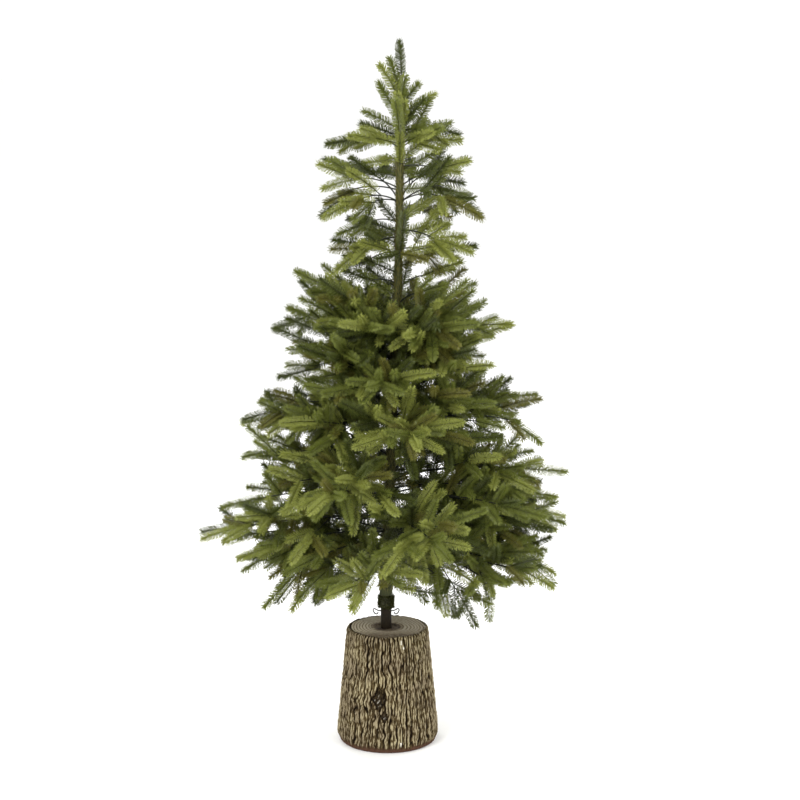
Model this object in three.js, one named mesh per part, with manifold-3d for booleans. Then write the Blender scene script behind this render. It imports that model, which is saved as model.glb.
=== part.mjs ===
// An artificial Christmas tree with moulded fir sprays, standing in a tapered stand shaped like a log.
// Millimetres, +Z up. The origin is the centre of the stand's flat underside and the front faces -Y.
import * as THREE from "three";
import { mergeVertices } from "three/addons/utils/BufferGeometryUtils.js";
import Module from "manifold-3d";

const wasm = await Module();
wasm.setup();

// Gap that neighbours keep where they meet face to face
const GAP = 0.3;

// Log stand: a tapered stump with a tucked-in foot and a sawn top
const STUMP_HEIGHT = 302;
const FOOT_RADIUS = 118;
const SWELL_RADIUS = 129;
const SWELL_HEIGHT = 26;
const TOP_RADIUS = 103;
const RIM_ROUND = 5;
const FOOT_ROUND = { inset: 3, height: 10 };
const BARK_ROWS = 3;
const BARK_RIDGES = 17;
const BARK_DEPTH = 3.2;
const RECESS_RADIUS = 30;
const RECESS_DEPTH = 3;
const SOCKET_FLOOR = 160;

// Steel socket that stands in the log and takes the pole
const SOCKET_RADIUS = 14;
const SOCKET_BORE = 12.4;
const SOCKET_TOP = 352;
const SOCKET_SIDES = 16;
const SCREW_HEIGHT = 343;
const SCREW_AZIMUTHS = { left: 170, right: 10 };
const WIRE_RADIUS = 1.6;
// A thumb screw's centre line past the pole: distance from the pole's axis and height above the screw's hole
const SCREW_ROUTE = [[18, 0], [24, 1.5], [30, 4.5], [33.5, 3], [34, -1], [30, -7.5], [26.5, -9.5], [22.5, -6.5]];

// Centre pole: height, sideways offset of its axis, and radius, from the socket to its tip in the leader
const POLE = [
  { z: SOCKET_FLOOR + GAP, x: -5, r: 12 },
  { z: 432, x: -5, r: 12 },
  { z: 444, x: -4.5, r: 11 },
  { z: 1205, x: 26.6, r: 10.4 },
  { z: 1213, x: 27, r: 9.4 },
  { z: 1568, x: 32, r: 8 },
  { z: 1584, x: 32.2, r: 4.6 },
  { z: 1692, x: 35, r: 3 },
];
const POLE_SIDES = 10;
const SOCKET_X = POLE[0].x;
const poleTip = POLE[POLE.length - 1];

// Tinsel cuff and plain sleeve at the foot of the pole. knobbly: how far knobs reach in, as a share of the radius.
const CUFF = { from: SOCKET_TOP + GAP, to: 386, radius: 20.5, rows: 3, knobbly: 0.16 };
const SLEEVE = { from: 386 + GAP, to: 446, radius: 17.5, rows: 1, knobbly: 0 };
const COLLAR_SIDES = 12;

// A spray: the core's widest place, and where its rear and fore needles end, as shares of the spray's length
// and radii in millimetres
const SPRAY_LENGTH = 132;
const SPRAY_SIDES = 3;
const CORE = { at: 0.42, radius: 12 };
const NEEDLE = { rear: { at: 0.5, radius: 27 }, fore: { at: 0.88, radius: 20 } };
const TWIG_RADIUS = 2;
// Angle of each spray in a fork's plane, its share of the full length and how far back its root sits
const ONE_SPRAY = [[0, 1, 0]];
const TWO_SPRAYS = [[0, 1, 0], [46, 0.8, 7]];
const THREE_SPRAYS = [[0, 1, 0], [46, 0.78, 7], [-46, 0.78, 14]];
const TRIES = 6;
const FORK_GAP = 1;
// Forks of one mass keep apart too, but for this share of their twigs
const OWN_TWIG = 0.6;
// Facets this close to flat are merged after fusing
const SMOOTH_WITHIN = 0.2;

// Forks beside a limb: share of the way along the mass's stem, side, lift above the limb's plane and angle to
// the limb in degrees, twig length as a share of the stem's length, and the fork's sprays
const FULL = [
  [0.62, 1, 26, 52, 0.3, THREE_SPRAYS],
  [0.62, -1, -14, 52, 0.3, THREE_SPRAYS],
  [0.16, 1, -12, 52, 0.5, TWO_SPRAYS],
  [0.16, -1, 28, 52, 0.5, TWO_SPRAYS],
  [0.3, 1, 82, 50, 0.16, TWO_SPRAYS],
  [0.36, 1, -80, 56, 0.12, ONE_SPRAY],
];
const HANGING = [
  [0.62, 1, 16, 52, 0.3, THREE_SPRAYS],
  [0.62, -1, -24, 52, 0.3, THREE_SPRAYS],
  [0.16, 1, -40, 52, 0.5, TWO_SPRAYS],
  [0.16, -1, -46, 52, 0.5, TWO_SPRAYS],
  [0.66, 1, -82, 46, 0.14, THREE_SPRAYS],
  [0.3, 1, 82, 50, 0.16, ONE_SPRAY],
];
const SHORT = [
  [0.6, 1, 22, 52, 0.3, THREE_SPRAYS],
  [0.6, -1, -10, 52, 0.3, THREE_SPRAYS],
  [0.28, -1, 38, 56, 0.36, TWO_SPRAYS],
  [0.46, 1, -84, 44, 0.12, ONE_SPRAY],
];
const OPEN = [
  [0.6, 1, 12, 64, 0.1, ONE_SPRAY],
  [0.6, -1, 8, 64, 0.1, ONE_SPRAY],
  [0.5, 1, 88, 36, 0.1, ONE_SPRAY],
  [0.2, 1, -34, 74, 0.1, ONE_SPRAY],
  [0.2, -1, 34, 78, 0.1, ONE_SPRAY],
];

// Tiers from the lowest up. Each bough: azimuth in degrees, 0 to the right and 90 to the back, reach from the
// pole's axis to its outermost tip, and that tip's height. arch: how far its pitch falls along the way.
// bare: the share of a limb that is a bough of its own, and 0 where the foliage starts at the pole.
// size: the size of its sprays.
const TIERS = [
  { height: 494, arch: 16, bare: 0.3, size: 1, side: HANGING,
    boughs: [[-20, 466, 470], [78, 432, 440], [168, 408, 470], [258, 410, 470]] },
  { height: 592, arch: 16, bare: 0.3, size: 1, side: FULL,
    boughs: [[20, 508, 562], [112, 440, 590], [191, 490, 568], [290, 450, 596]] },
  { height: 700, arch: 16, bare: 0.3, size: 1, side: FULL,
    boughs: [[-5, 457, 722], [70, 430, 740], [161, 404, 728], [242, 430, 706]] },
  { height: 812, arch: 18, bare: 0.3, size: 1, side: FULL,
    boughs: [[13, 390, 903], [106, 385, 880], [186, 388, 862], [281, 385, 860]] },
  { height: 925, arch: 20, bare: 0, size: 1, side: SHORT,
    boughs: [[-8, 300, 1112], [62, 300, 1060], [140, 300, 1050], [196, 318, 1098], [258, 306, 985]] },
  { height: 1036, arch: 20, bare: 0, size: 1, side: SHORT,
    boughs: [[28, 236, 1194], [100, 256, 1180], [166, 264, 1222], [238, 264, 1140], [316, 284, 1130]] },
  { height: 1256, arch: 54, bare: 0, size: 0.88, side: OPEN,
    boughs: [[2, 200, 1286], [172, 172, 1304], [275, 166, 1270]] },
  { height: 1400, arch: 54, bare: 0, size: 0.88, side: OPEN,
    boughs: [[16, 188, 1508], [-28, 234, 1380], [160, 212, 1500], [206, 218, 1374]] },
  { height: 1530, arch: 54, bare: 0, size: 0.88, side: OPEN,
    boughs: [[4, 158, 1560], [177, 184, 1550], [268, 156, 1550]] },
];
const LEAST_LIMB = 44;
const END_TWIG = 4;
const END_ROLL = 20;
const TWIG_SINK = 6;
// Side forks: how far each may stray at the first try, the least room they leave by the pole, their least twig
// and their size beside the end fork
const STRAY = { place: 0.04, lift: 9, angle: 6, length: 8, roll: 14 };
const POLE_ROOM = 26;
const LEAST_TWIG = 14;
const SIDE_SIZE = 0.96;
// Limbs are cut to the pole's shape from this far inside its surface
const BOUGH_SINK = 6;
const BOUGH_RADIUS = { pole: 4.6, end: 3.4 };
const STEM_RADIUS = { start: 3.4, end: 2.5 };
const STEM_SIDES = 5;

// Leader: radius and height of the stem round the pole's tip, how far from the pole's axis its sprays start, and
// their twigs
const LEADER_FOOT = 1588;
const LEADER_TOP = 1712;
const LEADER_STEM = [[7, LEADER_FOOT], [5.6, 1694], [3, LEADER_TOP]];
const LEADER_WALL = 5.6;
const LEADER_TWIG = 8;
// Degrees that a leader spray may be turned by to clear the others
const LEADER_TURNS = [0, 12, -12, 24, -24, 36];
// Height on the stem, azimuth, pitch and length of each spray, from the top down
const LEADER_SPRAYS = [
  [1700, 180, 90, 100], [1688, 172, 64, 78], [1674, 196, 52, 90], [1676, 10, 50, 72], [1660, 275, 52, 84],
  [1640, 352, 42, 108], [1638, 110, 44, 96], [1626, 176, 48, 116], [1616, 36, 26, 104], [1610, 240, 20, 98],
  [1598, 180, 16, 100], [1600, 304, 24, 98], [1597, 84, 18, 100],
];

const FINISH = {
  bark: new THREE.MeshStandardMaterial({ color: "#756850", roughness: 0.85 }),
  brownSteel: new THREE.MeshStandardMaterial({ color: "#3f3630", roughness: 0.5, metalness: 0.3 }),
  zincWire: new THREE.MeshStandardMaterial({ color: "#7d7a74", roughness: 0.4, metalness: 0.8 }),
  greenTape: new THREE.MeshStandardMaterial({ color: "#2f3a20", roughness: 0.8 }),
  tinsel: new THREE.MeshStandardMaterial({ color: "#25301a", roughness: 0.8 }),
  spray: new THREE.MeshStandardMaterial({ color: "#66752f", roughness: 0.6 }),
};

const UP = new THREE.Vector3(0, 0, 1);
const FRONT = new THREE.Vector3(0, -1, 0);
const root = new THREE.Group();

// A seeded run of numbers from 0 to 1, the same in every run
function seeded(seed) {
  let state = (seed * 2654435761 + 1013904223) >>> 0;
  return () => {
    state = (Math.imul(state, 1664525) + 1013904223) >>> 0;
    return state / 4294967296;
  };
}

function radians(degrees) {
  return (degrees * Math.PI) / 180;
}

// The solid of a closed geometry, once its shared vertices are merged
function solidOf(geometry) {
  const bare = new THREE.BufferGeometry();
  bare.setAttribute("position", geometry.getAttribute("position"));
  bare.setIndex(geometry.index);
  const merged = mergeVertices(bare, 1e-4);
  return new wasm.Manifold(
    new wasm.Mesh({
      numProp: 3,
      vertProperties: new Float32Array(merged.attributes.position.array),
      triVerts: new Uint32Array(merged.index.array),
    }),
  );
}

function geometryOf(solid) {
  const mesh = solid.getMesh();
  const geometry = new THREE.BufferGeometry();
  geometry.setAttribute("position", new THREE.BufferAttribute(mesh.vertProperties, mesh.numProp));
  geometry.setIndex(new THREE.BufferAttribute(mesh.triVerts, 1));
  geometry.computeVertexNormals();
  return geometry;
}

function addNode(name, geometry, material) {
  const mesh = new THREE.Mesh(geometry, material);
  mesh.name = name;
  root.add(mesh);
}

// A profile of [radius, height] pairs turned about +Z
function turned(profile, sides) {
  const points = profile.map(([r, z]) => new THREE.Vector2(r, z));
  return new THREE.LatheGeometry(points, sides).rotateX(Math.PI / 2);
}

function ring(inner, outer, from, to, sides) {
  const profile = [[inner, from], [outer, from], [outer, to], [inner, to], [inner, from]];
  return turned(profile, sides);
}

// Moves each vertex of a geometry by a function of its place
function reshaped(geometry, move) {
  const place = geometry.getAttribute("position");
  const point = new THREE.Vector3();
  for (let i = 0; i < place.count; i++) {
    point.fromBufferAttribute(place, i);
    move(point);
    place.setXYZ(i, point.x, point.y, point.z);
  }
  return geometry;
}

// Log stand: bark ridges run up its side and fade out at the foot and the sawn top
function makeStump() {
  const foot = [SWELL_RADIUS - FOOT_ROUND.inset, FOOT_ROUND.height];
  const side = [[0, 0], [FOOT_RADIUS, 0], foot];
  for (let row = 0; row <= BARK_ROWS; row++) {
    const share = row / BARK_ROWS;
    const z = SWELL_HEIGHT + share * (STUMP_HEIGHT - RIM_ROUND - SWELL_HEIGHT);
    side.push([SWELL_RADIUS + share * (TOP_RADIUS - SWELL_RADIUS), z]);
  }
  side.push([TOP_RADIUS - RIM_ROUND, STUMP_HEIGHT], [0, STUMP_HEIGHT]);
  const random = seeded(5);
  const columns = BARK_RIDGES * 2;
  const heights = Array.from({ length: columns * (BARK_ROWS + 1) }, () => random());
  const blank = reshaped(turned(side, columns), (p) => {
    const radius = Math.hypot(p.x, p.y);
    const inBark = p.z > SWELL_HEIGHT - 1 && p.z < STUMP_HEIGHT - 1;
    if (!inBark) return;
    const column = Math.round((Math.atan2(p.y, p.x) / Math.PI + 2) * BARK_RIDGES) % columns;
    const row = Math.round(((p.z - SWELL_HEIGHT) / (STUMP_HEIGHT - SWELL_HEIGHT)) * BARK_ROWS);
    const height = heights[row * columns + column];
    const relief = column % 2 ? -0.5 - 0.5 * height : 0.4 * height;
    const share = (radius + relief * BARK_DEPTH) / radius;
    p.x *= share;
    p.y *= share;
  });
  const above = STUMP_HEIGHT + 1;
  const floor = STUMP_HEIGHT - RECESS_DEPTH;
  const recess = turned([[0, floor], [RECESS_RADIUS - 2, floor], [RECESS_RADIUS + 2, above], [0, above]], 20);
  const wall = SOCKET_RADIUS + GAP;
  const bore = turned([[0, SOCKET_FLOOR], [wall, SOCKET_FLOOR], [wall, above], [0, above]], SOCKET_SIDES);
  const hollow = solidOf(recess).add(solidOf(bore)).translate([SOCKET_X, 0, 0]);
  addNode("log_stand", geometryOf(solidOf(blank).subtract(hollow)), FINISH.bark);
}

// Steel socket with two holes for the thumb screws, standing on the floor of the log's bore
function makeSocket() {
  const tube = solidOf(ring(SOCKET_BORE, SOCKET_RADIUS, SOCKET_FLOOR + GAP, SOCKET_TOP, SOCKET_SIDES));
  let socket = tube.translate([SOCKET_X, 0, 0]);
  for (const azimuth of Object.values(SCREW_AZIMUTHS)) {
    const hole = new THREE.CylinderGeometry(WIRE_RADIUS + GAP, WIRE_RADIUS + GAP, 8, 8);
    hole.rotateZ(Math.PI / 2).translate(SOCKET_RADIUS, 0, 0).rotateZ(radians(azimuth));
    socket = socket.subtract(solidOf(hole).translate([SOCKET_X, 0, SCREW_HEIGHT]));
  }
  addNode("stand_socket", geometryOf(socket), FINISH.brownSteel);
}

// Thumb screws: a straight shank through the socket's wall, bent round into a three-cornered eye
function makeScrews() {
  const section = new THREE.Shape();
  section.absarc(0, 0, WIRE_RADIUS, 0, 2 * Math.PI);
  const route = [[POLE[0].r + GAP, 0], ...SCREW_ROUTE];
  for (const [side, azimuth] of Object.entries(SCREW_AZIMUTHS)) {
    const path = new THREE.CatmullRomCurve3(route.map(([out, up]) => new THREE.Vector3(out, 0, up)));
    const screw = new THREE.ExtrudeGeometry(section, { steps: 14, curveSegments: 2, extrudePath: path });
    screw.rotateZ(radians(azimuth)).translate(SOCKET_X, 0, SCREW_HEIGHT);
    addNode("thumb_screw_" + side, screw, FINISH.zincWire);
  }
}

// Where the pole's axis is at a height, and how thick the pole is there
function poleAt(z) {
  let i = 1;
  while (i < POLE.length - 1 && POLE[i].z < z) i++;
  const [a, b] = [POLE[i - 1], POLE[i]];
  const share = (z - a.z) / (b.z - a.z);
  return { x: a.x + share * (b.x - a.x), r: a.r + share * (b.r - a.r) };
}

// The pole's solid, fattened by a clearance
function poleSolid(clearance) {
  const profile = POLE.map(({ z, r }) => [r + clearance, z]);
  profile[0][1] -= clearance;
  profile[profile.length - 1][1] += clearance;
  profile.unshift([0, POLE[0].z - clearance]);
  profile.push([0, poleTip.z + clearance]);
  return solidOf(reshaped(turned(profile, POLE_SIDES), (p) => (p.x += poleAt(p.z).x)));
}

// A collar round the pole, plain or with a knobbly outside
function collarSolid({ from, to, radius, rows, knobbly }) {
  const profile = [[0, from]];
  for (let row = 0; row <= rows; row++) profile.push([radius, from + (row / rows) * (to - from)]);
  profile.push([0, to]);
  const random = seeded(11);
  const knobs = Array.from({ length: COLLAR_SIDES * (rows + 1) }, () => random());
  const outside = reshaped(turned(profile, COLLAR_SIDES), (p) => {
    const size = Math.hypot(p.x, p.y);
    if (size > 1) {
      const column = Math.round((Math.atan2(p.y, p.x) / Math.PI + 2) * (COLLAR_SIDES / 2)) % COLLAR_SIDES;
      const row = Math.round(((p.z - from) / (to - from)) * rows);
      const share = 1 - knobbly * knobs[row * COLLAR_SIDES + column];
      p.x *= share;
      p.y *= share;
    }
    p.x += poleAt(p.z).x;
  });
  return solidOf(outside).subtract(poleSolid(GAP));
}

// A limb's centre line in the upright plane of its azimuth. Its pitch changes evenly along its length.
function makeLimb(height, azimuth, length, rise) {
  const out = new THREE.Vector3(Math.cos(radians(azimuth)), Math.sin(radians(azimuth)), 0);
  const foot = new THREE.Vector3(poleAt(height).x, 0, height);
  const [start, end] = rise.map(radians);
  const bend = (end - start) / length;
  const limb = { out, side: new THREE.Vector3(-out.y, out.x, 0), length };
  limb.pitch = (s) => start + bend * s;
  const turnedBy = (angle) => out.clone().multiplyScalar(Math.cos(angle)).addScaledVector(UP, Math.sin(angle));
  limb.along = (s) => turnedBy(limb.pitch(s));
  limb.over = (s) => turnedBy(limb.pitch(s) + Math.PI / 2);
  limb.point = (s) => {
    const p = limb.pitch(s);
    const far = (Math.sin(p) - Math.sin(start)) / bend;
    const high = (Math.cos(start) - Math.cos(p)) / bend;
    return foot.clone().addScaledVector(out, far).addScaledVector(UP, high);
  };
  return limb;
}

// The limb whose end spray just reaches a tip. The limb's chord and the spray are two sides of a triangle from the
// pole to the tip, and they meet at half the limb's arch.
function limbTo(tier, azimuth, reach, tipHeight) {
  const half = radians(tier.arch / 2);
  const spray = tier.size * SPRAY_LENGTH + END_TWIG;
  const rise = tipHeight - tier.height;
  const offset = spray * Math.sin(half);
  const onward = spray * Math.cos(half);
  const chord = Math.max(LEAST_LIMB, Math.sqrt(reach * reach + rise * rise - offset * offset) - onward);
  const pitch = ((Math.atan2(rise, reach) + Math.atan2(offset, chord + onward)) * 180) / Math.PI;
  const ends = [pitch + tier.arch / 2, pitch - tier.arch / 2];
  return makeLimb(tier.height, azimuth, (chord * half) / Math.sin(half), ends);
}

// A tapered round bar bent along a stretch of a limb
function barAlong(limb, from, to, startRadius, endRadius, steps) {
  const bar = new THREE.CylinderGeometry(endRadius, startRadius, 1, STEM_SIDES, steps).translate(0, 0.5, 0);
  return solidOf(
    reshaped(bar, (p) => {
      const s = from + p.y * (to - from);
      const across = limb.side.clone().multiplyScalar(p.x).addScaledVector(limb.over(s), -p.z);
      p.copy(limb.point(s)).add(across);
    }),
  );
}

// Closed mesh of places and triangles built up point by point
function meshBuilder() {
  const places = [];
  const faces = [];
  const put = (point) => {
    places.push(point.x, point.y, point.z);
    return places.length / 3 - 1;
  };
  const solid = () => {
    const geometry = new THREE.BufferGeometry();
    geometry.setAttribute("position", new THREE.Float32BufferAttribute(places, 3));
    geometry.setIndex(faces);
    return solidOf(geometry);
  };
  return { put, faces, solid };
}

// Spray: a slim three-sided core that needles stand out of, each one grown from a face of the core and pointing
// forward. Its root tapers to a point, or runs back as a twig of even thickness where twigLength is given.
function spraySolid(start, forward, length, twigLength = 0) {
  const side = new THREE.Vector3().crossVectors(forward, Math.abs(forward.z) > 0.9 ? FRONT : UP).normalize();
  const over = new THREE.Vector3().crossVectors(forward, side);
  const width = length / SPRAY_LENGTH;
  const { put, faces, solid } = meshBuilder();
  const at = (far, radius, turn) => {
    const point = start.clone().addScaledVector(forward, far);
    return put(point.addScaledVector(side, radius * Math.cos(turn)).addScaledVector(over, radius * Math.sin(turn)));
  };
  const step = (2 * Math.PI) / SPRAY_SIDES;
  const ringAt = (far, radius) => Array.from({ length: SPRAY_SIDES }, (_, i) => at(far, radius, i * step));
  const tip = at(length, 0, 0);
  const corners = ringAt(CORE.at * length, CORE.radius * width);
  const neck = twigLength ? ringAt(0, TWIG_RADIUS) : null;
  const tail = twigLength ? ringAt(-twigLength, TWIG_RADIUS) : null;
  const foot = twigLength ? null : at(0, 0, 0);
  corners.forEach((corner, i) => {
    const j = (i + 1) % SPRAY_SIDES;
    const turn = (i + 0.5) * step;
    const rear = at(NEEDLE.rear.at * length, NEEDLE.rear.radius * width, turn);
    const fore = at(NEEDLE.fore.at * length, NEEDLE.fore.radius * width, turn);
    faces.push(corners[j], corner, rear, corner, corners[j], fore, corners[j], tip, fore, tip, corner, fore);
    if (neck) {
      faces.push(neck[i], neck[j], rear, neck[j], corners[j], rear, corner, neck[i], rear);
      faces.push(tail[i], tail[j], neck[j], tail[i], neck[j], neck[i]);
    } else faces.push(foot, corners[j], rear, corner, foot, rear);
  });
  if (tail) faces.push(tail[2], tail[1], tail[0]);
  return solid();
}

// A fork on its side twig: sprays that fan out in the fork's plane. The first one ends the twig and the others
// have their roots sunk in the twig's last stretch.
function forkSolid({ foot, centre, forward, normal, size, fan }) {
  const sprays = fan.map(([angle, share, back], i) => {
    const way = forward.clone().applyAxisAngle(normal, radians(angle));
    const start = centre.clone().addScaledVector(forward, -back);
    return spraySolid(start, way, SPRAY_LENGTH * size * share, i ? 0 : foot.distanceTo(centre));
  });
  return sprays.length > 1 ? wasm.Manifold.union(sprays) : sprays[0];
}

// The upward normal of a fork that points forward, rolled about that direction
function normalFor(forward, over, roll) {
  const normal = over.clone().addScaledVector(forward, -over.dot(forward)).normalize();
  return normal.applyAxisAngle(forward, radians(roll));
}

// The fork at the end of a limb
function endFork(limb, fan, size, random) {
  const forward = limb.along(limb.length);
  const normal = normalFor(forward, limb.over(limb.length), (random() * 2 - 1) * END_ROLL);
  const foot = limb.point(limb.length - TWIG_SINK);
  return { foot, centre: limb.point(limb.length + END_TWIG), forward, normal, size, fan };
}

// A fork beside a limb, s along it. hand: its side, 1 or -1. lift: how far its twig rises above the limb's plane.
// angle: the twig's angle to the limb.
function sideFork(limb, { s, hand, lift, angle, length, roll, fan, size }) {
  const aside = limb.side.clone().multiplyScalar(hand * Math.cos(radians(lift)));
  aside.addScaledVector(limb.over(s), Math.sin(radians(lift)));
  const forward = limb.along(s).multiplyScalar(Math.cos(radians(angle)));
  forward.addScaledVector(aside, Math.sin(radians(angle))).normalize();
  const foot = limb.point(s);
  const centre = foot.clone().addScaledVector(forward, length);
  return { foot, centre, forward, normal: normalFor(forward, limb.over(s), roll), size, fan };
}

// Choices for every fork of one mass, from the tip inward. Each entry lists tries in the order they are made, and
// each try strays further from the fork's place.
function forksOf(limb, tier, random) {
  const span = limb.length * (1 - tier.bare);
  const from = limb.length - span;
  const forks = [[endFork(limb, THREE_SPRAYS, tier.size, random)]];
  for (const [share, hand, lift, angle, reach, fan] of tier.side) {
    const tries = [];
    for (let k = 0; k < TRIES; k++) {
      const jitter = (amount) => (random() * 2 - 1) * amount * (1 + k / 2);
      const s = from + span * share + jitter(STRAY.place) * span;
      tries.push(
        sideFork(limb, {
          s: Math.min(limb.length - 2 * TWIG_SINK, Math.max(POLE_ROOM, s)),
          hand,
          lift: lift + jitter(STRAY.lift),
          angle: angle + jitter(STRAY.angle),
          length: Math.max(LEAST_TWIG, reach * span + jitter(STRAY.length)),
          roll: jitter(STRAY.roll),
          fan,
          size: tier.size * (SIDE_SIZE - 0.015 * k),
        }),
      );
    }
    forks.push(tries);
  }
  return forks;
}

// True where two solids lie closer than a clearance
function touches(a, b, clearance = FORK_GAP) {
  const [p, q] = [a.boundingBox(), b.boundingBox()];
  for (let i = 0; i < 3; i++) {
    if (p.min[i] > q.max[i] + clearance || q.min[i] > p.max[i] + clearance) return false;
  }
  return a.minGap(b, 2 * clearance) < 0.99 * clearance;
}

// A tier's limbs: a bough where the tier has bare ones, and the stem of the mass that grows on from it
function makeLimbs(fixed, poleSpace) {
  const masses = [];
  TIERS.forEach((tier, t) => {
    tier.boughs.forEach(([azimuth, reach, tipHeight], b) => {
      const limb = limbTo(tier, azimuth, reach, tipHeight);
      const label = "tier_" + (t + 1) + "_" + (b + 1);
      const from = poleAt(tier.height).r - BOUGH_SINK;
      const bare = tier.bare * limb.length;
      let stem;
      if (bare) {
        const bough = barAlong(limb, from, bare, BOUGH_RADIUS.pole, BOUGH_RADIUS.end, 2).subtract(poleSpace);
        fixed.push(bough);
        addNode("bough_" + label, geometryOf(bough), FINISH.greenTape);
        stem = barAlong(limb, bare + GAP, limb.length, STEM_RADIUS.start, STEM_RADIUS.end, 3);
      } else {
        stem = barAlong(limb, from, limb.length, STEM_RADIUS.start, STEM_RADIUS.end, 3).subtract(poleSpace);
      }
      const choices = forksOf(limb, tier, seeded(100 * (t + 1) + b));
      masses.push({ name: "foliage_" + label, stem, forks: [], outers: [], choices });
    });
  });
  return masses;
}

// Boughs and masses of every tier. A fork goes to the first of its tries that touches nothing, or is skipped.
function makeCrown(fixed) {
  const poleSpace = poleSolid(GAP);
  const masses = [...makeLimbs(fixed, poleSpace), leaderMass(poleSpace)];
  const free = (solid, outer, mass) =>
    !mass.outers.some((other) => touches(outer, other)) &&
    !fixed.some((limb) => touches(solid, limb, GAP)) &&
    !masses.some((other) => other !== mass && [other.stem, ...other.forks].some((part) => touches(solid, part)));
  const rounds = Math.max(...masses.map((mass) => mass.choices.length));
  for (let round = 0; round < rounds; round++) {
    for (const mass of masses) {
      for (const fork of mass.choices[round] ?? []) {
        const solid = mass.hugsPole ? forkSolid(fork).subtract(poleSpace) : forkSolid(fork);
        const outer = forkSolid({ ...fork, foot: fork.foot.clone().lerp(fork.centre, OWN_TWIG) });
        if (!free(solid, outer, mass)) continue;
        mass.forks.push(solid);
        mass.outers.push(outer);
        break;
      }
    }
  }
  for (const mass of masses) {
    const whole = wasm.Manifold.union([mass.stem, ...mass.forks]).asOriginal().simplify(SMOOTH_WITHIN);
    addNode(mass.name, geometryOf(whole), FINISH.spray);
  }
}

// The leader: a stem that sleeves the pole's thin tip, and the single sprays that stand round it
function leaderMass(poleSpace) {
  const outside = turned([[0, LEADER_FOOT], ...LEADER_STEM, [0, LEADER_TOP]], 6);
  const stem = solidOf(reshaped(outside, (p) => (p.x += poleAt(p.z).x))).subtract(poleSpace);
  const choices = LEADER_SPRAYS.map(([z, azimuth, pitch, length]) =>
    LEADER_TURNS.map((turn) => {
      const out = new THREE.Vector3(Math.cos(radians(azimuth + turn)), Math.sin(radians(azimuth + turn)), 0);
      const height = z + turn / 6;
      const foot = new THREE.Vector3(poleAt(height).x, 0, height);
      if (height < poleTip.z) foot.addScaledVector(out, LEADER_WALL);
      const forward = out.multiplyScalar(Math.cos(radians(pitch))).addScaledVector(UP, Math.sin(radians(pitch)));
      const centre = foot.clone().addScaledVector(forward, LEADER_TWIG);
      const size = (length - LEADER_TWIG) / SPRAY_LENGTH;
      return { foot, centre, forward, normal: normalFor(forward, FRONT, 0), size, fan: ONE_SPRAY };
    }),
  );
  return { name: "foliage_leader", stem, forks: [], outers: [], choices, hugsPole: true };
}

makeStump();
makeSocket();
makeScrews();
const pole = poleSolid(0);
const cuff = collarSolid(CUFF);
const sleeve = collarSolid(SLEEVE);
addNode("centre_pole", geometryOf(pole), FINISH.brownSteel);
addNode("tinsel_cuff", geometryOf(cuff), FINISH.tinsel);
addNode("pole_sleeve", geometryOf(sleeve), FINISH.greenTape);
makeCrown([pole, cuff, sleeve]);

export default root;
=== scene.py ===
"""An artificial christmas tree with moulded fir sprays, standing in a log-shaped stand.

Lengths in the constants are millimetres, angles degrees, and +Z is up with the front facing -Y.
"""

import math
from functools import lru_cache

import bmesh
import bpy
import numpy as np
from bpy.props import FloatProperty, FloatVectorProperty, IntProperty, PointerProperty
from bpy.types import Operator, Panel, PropertyGroup
from mathutils import Matrix, Quaternion, Vector, noise


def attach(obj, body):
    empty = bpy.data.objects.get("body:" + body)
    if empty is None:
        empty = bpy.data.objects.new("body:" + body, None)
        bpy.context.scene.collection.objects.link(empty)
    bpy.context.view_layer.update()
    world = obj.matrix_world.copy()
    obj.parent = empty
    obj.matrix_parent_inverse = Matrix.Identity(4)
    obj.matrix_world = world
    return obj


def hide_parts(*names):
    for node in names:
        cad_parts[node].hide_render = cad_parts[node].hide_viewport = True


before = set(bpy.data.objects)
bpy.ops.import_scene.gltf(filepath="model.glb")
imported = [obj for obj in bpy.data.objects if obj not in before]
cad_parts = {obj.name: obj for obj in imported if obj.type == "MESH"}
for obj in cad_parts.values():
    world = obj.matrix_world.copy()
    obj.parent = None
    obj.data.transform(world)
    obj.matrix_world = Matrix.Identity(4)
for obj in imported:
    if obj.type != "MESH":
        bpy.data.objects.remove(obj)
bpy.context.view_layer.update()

bl_info = {
    "name": "Christmas tree in a log stand",
    "version": (1, 0, 0),
    "blender": (4, 5, 0),
    "location": "3D View > Sidebar > Christmas Tree",
    "description": "Models an artificial fir tree in a bark-relief log stand",
    "category": "Add Mesh",
}

MM = 0.001
UP = Vector((0, 0, 1))
NODES = sorted(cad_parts)

# The camera: sideways place, distance in front of the pole, and height
VIEW_ACROSS = 31
VIEW_DISTANCE = 5000
VIEW_HEIGHT = 1850

# Centre pole: height, sideways offset of its axis, and radius
POLE = [
    (160.3, -5, 12), (432, -5, 12), (444, -4.5, 11), (1205, 26.6, 10.4), (1213, 27, 9.4),
    (1568, 32, 8), (1584, 32.2, 4.6), (1692, 35, 3),
]
SOCKET_X = POLE[0][1]
SLEEVE_RADIUS = 17.2
# A thumb screw's centre line from the pole: distance from the pole's axis and height above the screw's hole
SCREW_ROUTE = [
    (12.4, 0), (18, 0), (24, 1.5), (30, 4.5), (33.5, 3), (34, -1), (30, -7.5), (26, -9.5), (22.4, -7.4),
    (21, -3.6),
]

# Sprays of a fork: angle in the fork's plane, share of the full length, and how far back the root sits
ONE_SPRAY = [(0, 1, 0)]
TWO_SPRAYS = [(0, 1, 0), (46, 0.8, 7)]
THREE_SPRAYS = [(0, 1, 0), (46, 0.78, 7), (-46, 0.78, 14)]

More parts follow.
